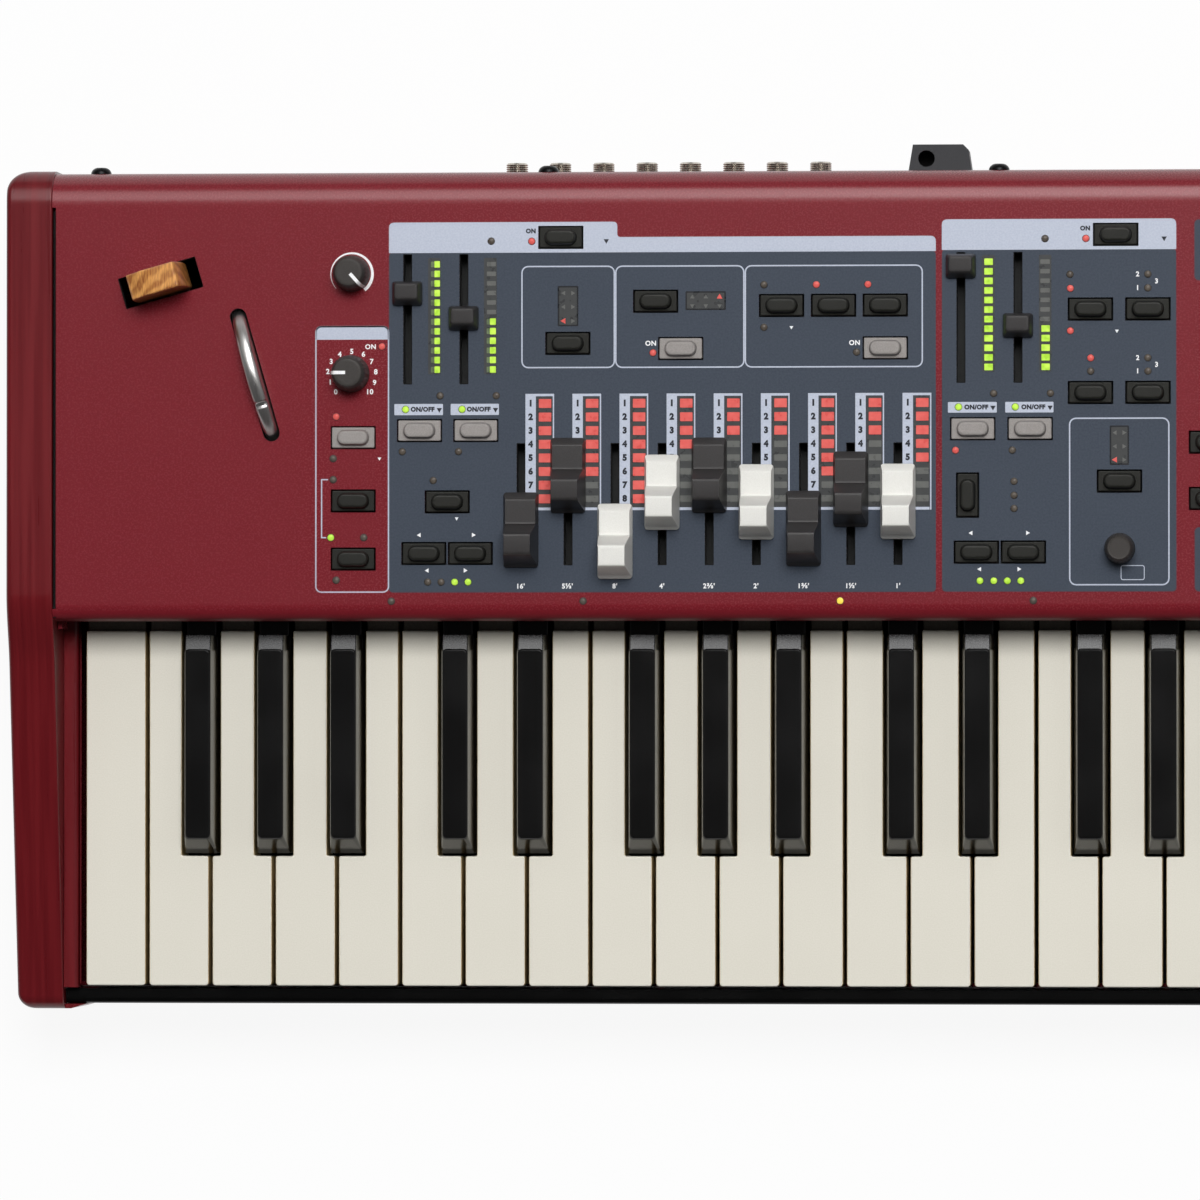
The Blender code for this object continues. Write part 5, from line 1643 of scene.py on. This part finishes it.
def rightLamps():
    # Lamps of the sections right of the piano, given in place on the panel
    made = {"red": [], "green": [], "dark": [], "yellow": []}
    for column in range(6):
        made["red" if column == 0 else "dark"].append(fromLeft(423.7 + 20 * column, 66.45 + 7.4))
        made["dark"].append(fromLeft(423.7 + 20 * column, 45.95 + 7.4))
    for k, x in enumerate(faderColumns):
        made["green"].append(fromRight(x + 3.2, rowRear + 10.0))
        made["dark"].append(fromRight(x - 3.2, rowRear - 8.2))
    for k, x in enumerate(synthColumns[3:]):
        made["red" if k in (1, 3) else "dark"].append(fromRight(x, rowRear - 8.2))
        made["dark"].append(fromRight(x + 4.6, rowFront + 8.0))
        made["red" if k == 2 else "dark"].append(fromRight(x - 4.6, rowFront + 8.0))
    for k, x in enumerate(effectColumns):
        made["red" if k in (0, 3) else "dark"].append(fromRight(x + 11.5, 45.95 + 0.4))
        for n in range(3):
            made["red" if n == k % 3 else "dark"].append(fromRight(x + 9 - 9 * n, 101.95 + 9))
        made["dark"].append(fromRight(x, rowFront + 7.6))
    low, high = rightPrint["synthField"]
    made["red"].append(Vector((high.x - 30 * mm, high.y - 7.4 * mm)))
    for x in (300, 385, 470):
        made["dark"].append(Vector((x * mm, spot(0, 600.7).y)))
    return made


def makeLamps():
    others = rightLamps()
    rims = bmesh.new()
    for colour in ("red", "green", "yellow", "dark"):
        places = [spot(*p) for p in lampPlaces[colour]] + others[colour]
        shape = bmesh.new()
        r = lamp["radius"] * mm
        for place in places:
            centre = (place.x, place.y, panelTop)
            dome = [(r, -0.6 * mm), (r, 0.1 * mm), (r * 0.86, 0.3 * mm), (r * 0.55, 0.48 * mm), (0, lamp["rise"] * mm)]
            addTurned(shape, [(0, -0.6 * mm), *dome], centre, lamp["steps"])
            outer = r + lamp["rim"] * mm
            ring = [(r + 0.02 * mm, -0.3 * mm), (outer, -0.3 * mm), (outer, 0.12 * mm), (r + 0.02 * mm, 0.16 * mm)]
            addTurned(rims, ring + ring[:1], centre, lamp["steps"])
        look = "dark lamp" if colour == "dark" else f"lit {colour} lamp"
        finishPiece(f"lamps_{colour}", shape, look, angle=60)
    bmesh.ops.remove_doubles(rims, verts=rims.verts, dist=0.000001)
    finishPiece("lampRims", rims, "moulded black nylon", angle=40)


def addSegment(shape, left, right, middle, height, top=None):
    # One lamp segment behind a window, from pixel places
    low, high = spot(left, middle + height / 2), spot(right, middle - height / 2)
    level = panelTop + (segments["lampTop"] if top is None else top) * mm
    addPrism(shape, roundedBox(low, high, 0.22 * mm, 2), panelTop - 0.2 * mm, level)


def makeSegments():
    rims, windows, red, green, dim, unlit = (bmesh.new() for _ in range(6))
    inset = Vector((segments["rimWidth"], segments["rimWidth"])) * mm
    windowTop = panelTop + segments["windowTop"] * mm
    for ladder in rowLadders:
        addPrism(windows, roundedBox(*area(*ladder["window"]), 0.5 * mm, 3), panelTop - 0.2 * mm, windowTop)
        left, right = ladder["lamp"]
        for k in range(12):
            y = ladder["first"] + ladder["pitch"] * k
            if 12 - k <= ladder["lit"]:
                addSegment(green, left, right, y, 6.6)
                if left - ladder["window"][0] > 3:
                    addSegment(dim, ladder["window"][0] + 2.8, left - 0.2, y, 5.6, 0.2)
            else:
                addSegment(unlit, min(left - 1, ladder["window"][0] + 3), right, y, 4.4, 0.16)
    for k in range(9):
        x = ladderPrint["firstX"] + ladderPrint["pitch"] * k
        window = (x + ladderPrint["windowLeft"] - 1, ladderPrint["top"] + 3, x + ladderPrint["windowRight"],
                  ladderPrint["bottom"] - 2.6)
        addPrism(windows, roundedBox(*area(*window), 0.2 * mm, 2), panelTop - 0.2 * mm, windowTop)
        for n in range(8):
            y = ladderPrint["firstLamp"] + ladderPrint["lampPitch"] * n
            left, right = x + ladderPrint["lampLeft"], x + ladderPrint["lampRight"]
            lit = n < ladderPrint["lit"][k]
            addSegment(red if lit else unlit, left, right, y, ladderPrint["lampHeight"] if lit else 6.4,
                       None if lit else 0.16)
    for matrix in matrices:
        low, high = area(*matrix["window"])
        addPrism(rims, roundedBox(low, high, 0.4 * mm, 3), panelTop - 0.2 * mm, panelTop + 0.07 * mm)
        addPrism(windows, roundedBox(low + inset, high - inset, 0.3 * mm, 3), panelTop - 0.2 * mm, windowTop)
        for c, x in enumerate(matrix["columns"]):
            for r, y in enumerate(matrix["rows"]):
                way = matrix["ways"][c if matrix["across"] else r]
                lit = (c, r) == matrix["lit"]
                addPrism(red if lit else unlit, triangle(spot(x, y), 1.25 if lit else 0.95, way), panelTop - 0.2 * mm,
                         panelTop + (segments["lampTop"] if lit else 0.16) * mm)
    # The synth's three ladders, and one small window over each effect
    for k, x in enumerate(faderColumns):
        low, high = fromRight(x - 8.2, 91.5), fromRight(x - 12.6, 133.5)
        addPrism(windows, roundedBox(low, high, 0.5 * mm, 3), panelTop - 0.2 * mm, windowTop)
        for n in range(12):
            y = low.y + (2.2 + 3.42 * n) * mm
            lit = n < (9, 7, 4)[k]
            size = Vector((1.55, 1.2 if lit else 0.8)) * mm
            middle = Vector(((low.x + high.x) / 2, y))
            addPrism(green if lit else unlit, roundedBox(middle - size, middle + size, 0.2 * mm, 2),
                     panelTop - 0.2 * mm, panelTop + (segments["lampTop"] if lit else 0.16) * mm)
    for x in effectColumns:
        low, high = fromRight(x + 12, 119.5), fromRight(x - 12, 126.5)
        addPrism(rims, roundedBox(low, high, 0.4 * mm, 3), panelTop - 0.2 * mm, panelTop + 0.07 * mm)
        addPrism(windows, roundedBox(low + inset, high - inset, 0.3 * mm, 3), panelTop - 0.2 * mm, windowTop)
        for n in range(3):
            for row in range(2):
                place = Vector((low.x + (4 + 8 * n) * mm, low.y + (2 + 3 * row) * mm))
                lit = (n, row) == ((1, 0), (0, 1), (2, 0), (1, 1), (0, 0))[effectColumns.index(x)]
                addPrism(red if lit else unlit, triangle(place, 1.1 if lit else 0.9, "up" if row else "down"),
                         panelTop - 0.2 * mm, panelTop + (segments["lampTop"] if lit else 0.16) * mm)
    finishPiece("windowRims", rims, "window rim")
    finishPiece("lampWindows", windows, "dark segment")
    finishPiece("segments_red", red, "lit red lamp", bevel=0.08, segments=1)
    finishPiece("segments_green", green, "lit green lamp", bevel=0.08, segments=1)
    finishPiece("segments_dim", dim, "dim green lens")
    finishPiece("segments_unlit", unlit, "grey segment")


makeLamps()
makeSegments()
print("lamps made")


# Display of the program section

display = {"left": 424.5, "right": 523, "front": 128.4, "back": 144.6, "rise": 0.9, "glassInset": 1.6,
           "rows": (0.66, 0.3), "barHeight": 2.1}


def makeDisplay():
    low, high = fromLeft(display["left"], display["front"]), fromLeft(display["right"], display["back"])
    bezel = bmesh.new()
    edge = Vector((display["glassInset"], display["glassInset"])) * mm
    lay = lambda outline, z: [(x, y, panelTop + z * mm) for x, y in outline]
    outer, inner = roundedBox(low, high, 1.2 * mm), roundedBox(low + edge, high - edge, 0.5 * mm)
    addRing(bezel, (lay(outer, -0.2), lay(outer, display["rise"])), (lay(inner, -0.2), lay(inner, display["rise"])))
    finishPiece("displayBezel", bezel, "moulded black nylon", bevel=0.3, segments=3)
    glass = bmesh.new()
    addPrism(glass, roundedBox(low + edge * 0.9, high - edge * 0.9, 0.5 * mm), panelTop - 0.1 * mm, panelTop + 0.35 * mm)
    finishPiece("displayGlass", glass, "smoked display glass")
    # Number and level bars that a display of this kind shows
    drawn = bmesh.new()
    addWords(drawn, "11", Vector((low.x + 9 * mm, (low.y + high.y) / 2)), 6.5, 0.1)
    for k, count in enumerate((22, 14)):
        y = low.y + (high.y - low.y) * display["rows"][k]
        for n in range(count):
            x = low.x + (20 + 2.9 * n) * mm
            addBox(drawn, (x, y - mm, panelTop + 0.06 * mm), (x + 2 * mm, y + mm, panelTop + 0.09 * mm))
    bmesh.ops.translate(drawn, verts=drawn.verts, vec=(0, 0, 0.3 * mm))
    finishPiece("displayDots", drawn, "lit display dots")


makeDisplay()


# Rear: jacks, mains inlet, screws and the cable anchor

jack = {"pitch": 16.1, "count": 8, "height": 52, "ferrule": 4.3, "bore": 3.3, "reach": 7, "caseWidth": 13,
        "caseDepth": 28, "caseRise": 6, "boardDrop": 8, "plateThickness": 2.1, "nutReach": 2.6, "flangeReach": 3}
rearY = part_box("base_pan")[1].y


def facing(outline, y0, y1):
    # Loops of an upright outline of (x, z) points at two depths
    return [(x, y0, z) for x, z in outline], [(x, y1, z) for x, z in outline]


def circleOutline(x, z, radius, steps=24):
    return [(x + radius * math.cos(2 * math.pi * k / steps), z + radius * math.sin(2 * math.pi * k / steps))
            for k in range(steps)]


def addFlanges(shape, left, right, foot, top):
    # Strips behind a plate's two sides and foot, which close the gap to the wall that it sits in
    depth, reach = jack["plateThickness"] * mm, jack["flangeReach"] * mm
    y0, y1 = rearY - depth - 1.2 * mm, rearY - depth
    for low, high in (((left - reach, foot), (left + reach, top)), ((right - reach, foot), (right + reach, top)),
                      ((left + reach, foot - reach), (right - reach, foot + reach))):
        addBox(shape, (low[0], y0, low[1]), (high[0], y1, high[1]))


def makeJacks():
    low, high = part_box("jack_board")
    first = (low.x + high.x) / 2 - jack["pitch"] * (jack["count"] - 1) / 2 * mm
    centres = [first + jack["pitch"] * mm * k for k in range(jack["count"])]
    z = jack["height"] * mm
    plateBack = rearY
    plateFront = plateBack - jack["plateThickness"] * mm
    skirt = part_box("top_panel")[0].z - 0.3 * mm
    plate = bmesh.new()
    # The plate is made in columns, one round hole in each
    edges = [low.x, *[(a + b) / 2 for a, b in zip(centres, centres[1:])], high.x]
    for k, x in enumerate(centres):
        left, right = edges[k], edges[k + 1]
        bottomZ = 32 * mm
        border = refined([(left, bottomZ), (right, bottomZ), (right, skirt), (left, skirt)], 6 * mm)
        hole = circleFacing((x, z), border, (jack["ferrule"] + 0.2) * mm)
        addRing(plate, facing(border, plateFront, plateBack), facing(hole, plateFront, plateBack))
    bmesh.ops.remove_doubles(plate, verts=plate.verts, dist=0.00001)
    inside = [f for f in plate.faces if all(any(abs(v.co.x - e) < 0.00002 for e in edges[1:-1]) for v in f.verts)
              and abs(f.normal.x) > 0.9]
    bmesh.ops.delete(plate, geom=inside, context="FACES_ONLY")
    addFlanges(plate, low.x, high.x, 32 * mm, skirt - 3 * mm)
    finishPiece("jackPlate", plate, "powder-coated steel, red", stands=("jack_board",))
    back = Matrix.Rotation(math.radians(-90), 3, "X")
    rings = bmesh.new()
    outer, bore, reach = jack["ferrule"] * mm, jack["bore"] * mm, jack["reach"] * mm
    nut = jack["nutReach"] * mm
    for x in centres:
        profile = [(bore, -20 * mm), (outer, -20 * mm), (outer, nut), (outer - 0.35 * mm, nut + 0.25 * mm)]
        for k in range(5):
            base = nut + (0.4 + 0.75 * k) * mm
            profile += [(outer - 0.55 * mm, base), (outer - 0.2 * mm, base + 0.35 * mm)]
        profile += [(outer - 0.5 * mm, reach - 0.3 * mm), (outer - 0.75 * mm, reach), (bore + 0.1 * mm, reach)]
        profile += [(bore, reach - 0.4 * mm), (bore, -20 * mm)]
        addTurned(rings, profile, (x, rearY, z), 28, back)
    bmesh.ops.remove_doubles(rings, verts=rings.verts, dist=0.000001)
    finishPiece("jackFerrules", rings, "nickel-plated brass", angle=30)
    cases = bmesh.new()
    for x in centres:
        half = jack["caseWidth"] / 2 * mm
        addBox(cases, (x - half, plateFront - jack["caseDepth"] * mm, z - 7.2 * mm), (x + half, plateFront, z + 6 * mm))
    finishPiece("jackCases", cases, "moulded black nylon", bevel=0.5)
    board = bmesh.new()
    boardLow = z - jack["boardDrop"] * mm
    front = plateFront - (jack["caseDepth"] + 6) * mm
    left, right = centres[0] - 9 * mm, centres[-1] + 9 * mm
    addBox(board, (left, front, boardLow), (right, plateFront - mm, boardLow + 1.6 * mm))
    finishPiece("jackCircuit", board, "glass-fibre laminate")
    posts = bmesh.new()
    for x in (left + 4 * mm, right - 4 * mm):
        addTurned(posts, [(0, low.z), (3 * mm, low.z), (3 * mm, boardLow), (0, boardLow)], (x, front + 5 * mm, 0), 6)
    finishPiece("jackPosts", posts, "zinc-plated steel")


inlet = {"width": 28, "height": 20, "wall": 2.5, "proud": 1.5, "depth": 16, "plateWidth": 46, "cornerCut": 4.5}


def makeInlet():
    low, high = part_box("power_unit")
    middle = panelHigh.x - 56.5 * mm
    z = jack["height"] * mm
    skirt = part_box("top_panel")[0].z - 0.3 * mm
    plateFront = rearY - jack["plateThickness"] * mm
    half = inlet["plateWidth"] / 2 * mm
    border = refined([(middle - half, 32 * mm), (middle + half, 32 * mm), (middle + half, skirt), (middle - half, skirt)],
                     4 * mm)
    w, h, cut = inlet["width"] / 2 * mm, inlet["height"] / 2 * mm, inlet["cornerCut"] * mm
    # Each point of the border looks at the opening's own edge, so that the plate stays one band
    inner = []
    for x, y in border:
        dx, dz = x - middle, y - z
        share = min(w / abs(dx) if dx else 9, h / abs(dz) if dz else 9)
        inner.append((middle + dx * share, z + dz * share))
    plate = bmesh.new()
    addRing(plate, facing(border, plateFront, rearY), facing(inner, plateFront, rearY))
    addFlanges(plate, middle - half, middle + half, 32 * mm, skirt - 3 * mm)
    finishPiece("inletPlate", plate, "powder-coated steel, red", stands=("power_unit",))
    shell = bmesh.new()
    outside = refined([(middle - w, z - h), (middle + w, z - h), (middle + w, z + h), (middle - w, z + h)], 3 * mm)
    wall = inlet["wall"] * mm
    mouth = []
    for x, y in outside:
        dx, dz = (x - middle) * (w - wall) / w, (y - z) * (h - wall) / h
        # The lower corners of the socket's mouth are cut off
        over = (abs(dx) + max(0, -dz)) - (w - wall + h - wall - cut)
        if over > 0:
            dx -= math.copysign(over / 2, dx)
            dz += over / 2
        mouth.append((middle + dx, z + dz))
    front = rearY - inlet["depth"] * mm
    proud = rearY + inlet["proud"] * mm
    addRing(shell, facing(outside, front, proud), facing(mouth, front, proud))
    addRing(shell, facing(outside, front - 2 * mm, front), facing(circleFacing((middle, z), outside, 0.5 * mm),
                                                                   front - 2 * mm, front))
    finishPiece("inletShell", shell, "moulded black nylon", bevel=0.25)
    pins = bmesh.new()
    for dx, dz in ((-7, -0.5), (0, 2.8), (7, -0.5)):
        addPrism(pins, [(middle + (dx + x) * mm, y) for x, y in
                        ((-1, front - mm), (1, front - mm), (1, rearY - 4 * mm), (0.6, rearY - 3 * mm),
                         (-0.6, rearY - 3 * mm), (-1, rearY - 4 * mm))],
                 z + (dz - 2) * mm, z + (dz + 2) * mm)
    finishPiece("inletPins", pins, "nickel-plated brass", bevel=0.2)
    case = bmesh.new()
    addBox(case, (middle - 60 * mm, plateFront - 70 * mm, low.z), (middle + 40 * mm, front - 2 * mm, z + 14 * mm))
    finishPiece("supplyCase", case, "zinc-plated steel", bevel=1.2, segments=3)


screw = {"radius": 3.85, "rise": 2.5, "socket": 1.3, "socketDepth": 1.4, "height": 82,
         "pitch": 165.6, "count": 7}


def addScrew(shape, centre, turn, radius=None):
    # Domed head with a round socket
    r = (radius or screw["radius"]) * mm
    rise = screw["rise"] * (r / screw["radius"])
    socket = r * 0.36
    profile = [(r * 0.98, -0.5 * mm), (r, 0.1 * mm), (r * 0.96, rise * 0.34), (r * 0.84, rise * 0.66),
               (r * 0.64, rise * 0.9), (r * 0.46, rise), (socket, rise * 0.96), (socket * 0.96, rise * 0.3),
               (0, rise * 0.2)]
    addTurned(shape, [(0, -0.5 * mm), *profile], centre, 30, turn)


def makeRearDetails():
    back = Matrix.Rotation(math.radians(-90), 3, "X")
    shape = bmesh.new()
    first = -(screw["count"] - 1) / 2 * screw["pitch"] * mm
    for k in range(screw["count"]):
        addScrew(shape, (first + k * screw["pitch"] * mm, panelHigh.y, screw["height"] * mm), back)
    finishPiece("rearScrews", shape, "black oxide steel", angle=45)
    # A black disc closes the cable anchor's hole: painted shade in the hole
    low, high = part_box("cable_anchor")
    plug = bmesh.new()
    centre = (low.x + 7 * mm, high.y - 5.2 * mm, 0)
    addTurned(plug, [(0, low.z + 0.2 * mm), (3.3 * mm, low.z + 0.2 * mm), (3.3 * mm, low.z + 2 * mm), (0, low.z + 2 * mm)],
              centre, 24)
    finishPiece("anchorShadeFloor", plug, "black felt, painted shade")


shadeStrip = {"inner": 0.2, "outer": 1.15, "low": 85, "drop": 2.0, "rear": 14}


def makeGaskets():
    # Black strips between the panel's ends and the cheeks: painted shade that keeps the slots there dark
    shape = bmesh.new()
    low = shadeStrip["low"] * mm
    top = panelTop - shadeStrip["drop"] * mm
    for side in (-1, 1):
        x0, x1 = sorted((side * (panelHigh.x + shadeStrip["inner"] * mm), side * (panelHigh.x + shadeStrip["outer"] * mm)))
        addBox(shape, (x0, panelLow.y + 3 * mm, low), (x1, panelHigh.y - shadeStrip["rear"] * mm, top))
    finishPiece("panelShadeStrips", shape, "black felt, painted shade")


underside = {"screws": [(x, y) for x in (-470, -235, 0, 235, 470) for y in (-128, 0, 128)], "screwRadius": 3.2,
             "louvreLength": 46, "louvreGap": 8, "louvreCount": 7}


def makeUnderside():
    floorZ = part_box("base_pan")[0].z
    down = Matrix.Rotation(math.radians(180), 3, "X")
    shape = bmesh.new()
    for x, y in underside["screws"]:
        addScrew(shape, (x * mm, y * mm, floorZ), down, underside["screwRadius"])
    finishPiece("underScrews", shape, "black oxide steel", angle=45)
    # Louvres pressed out of the floor over the supply and the circuit board
    shape = bmesh.new()
    for cx, cy in ((420, 90), (-300, 90), (0, 90)):
        for k in range(underside["louvreCount"]):
            y = cy + (k - 3) * underside["louvreGap"]
            half = underside["louvreLength"] / 2
            outline = roundedBox(Vector((cx - half, y - 1.6)) * mm, Vector((cx + half, y + 1.6)) * mm, 1.5 * mm)
            upper = [shape.verts.new((x, v, floorZ + 0.2 * mm)) for x, v in outline]
            lower = [shape.verts.new((cx * mm + (x - cx * mm) * 0.97, y * mm + (v - y * mm) * 0.5, floorZ - 1.2 * mm))
                     for x, v in outline]
            for i in range(len(outline)):
                j = (i + 1) % len(outline)
                shape.faces.new((upper[i], upper[j], lower[j], lower[i]))
            shape.faces.new(lower)
            shape.faces.new(list(reversed(upper)))
    finishPiece("floorLouvres", shape, "powder-coated steel, red", bevel=0.3)


makeJacks()
makeInlet()
makeRearDetails()
makeGaskets()
makeUnderside()
print("rear and underside made")
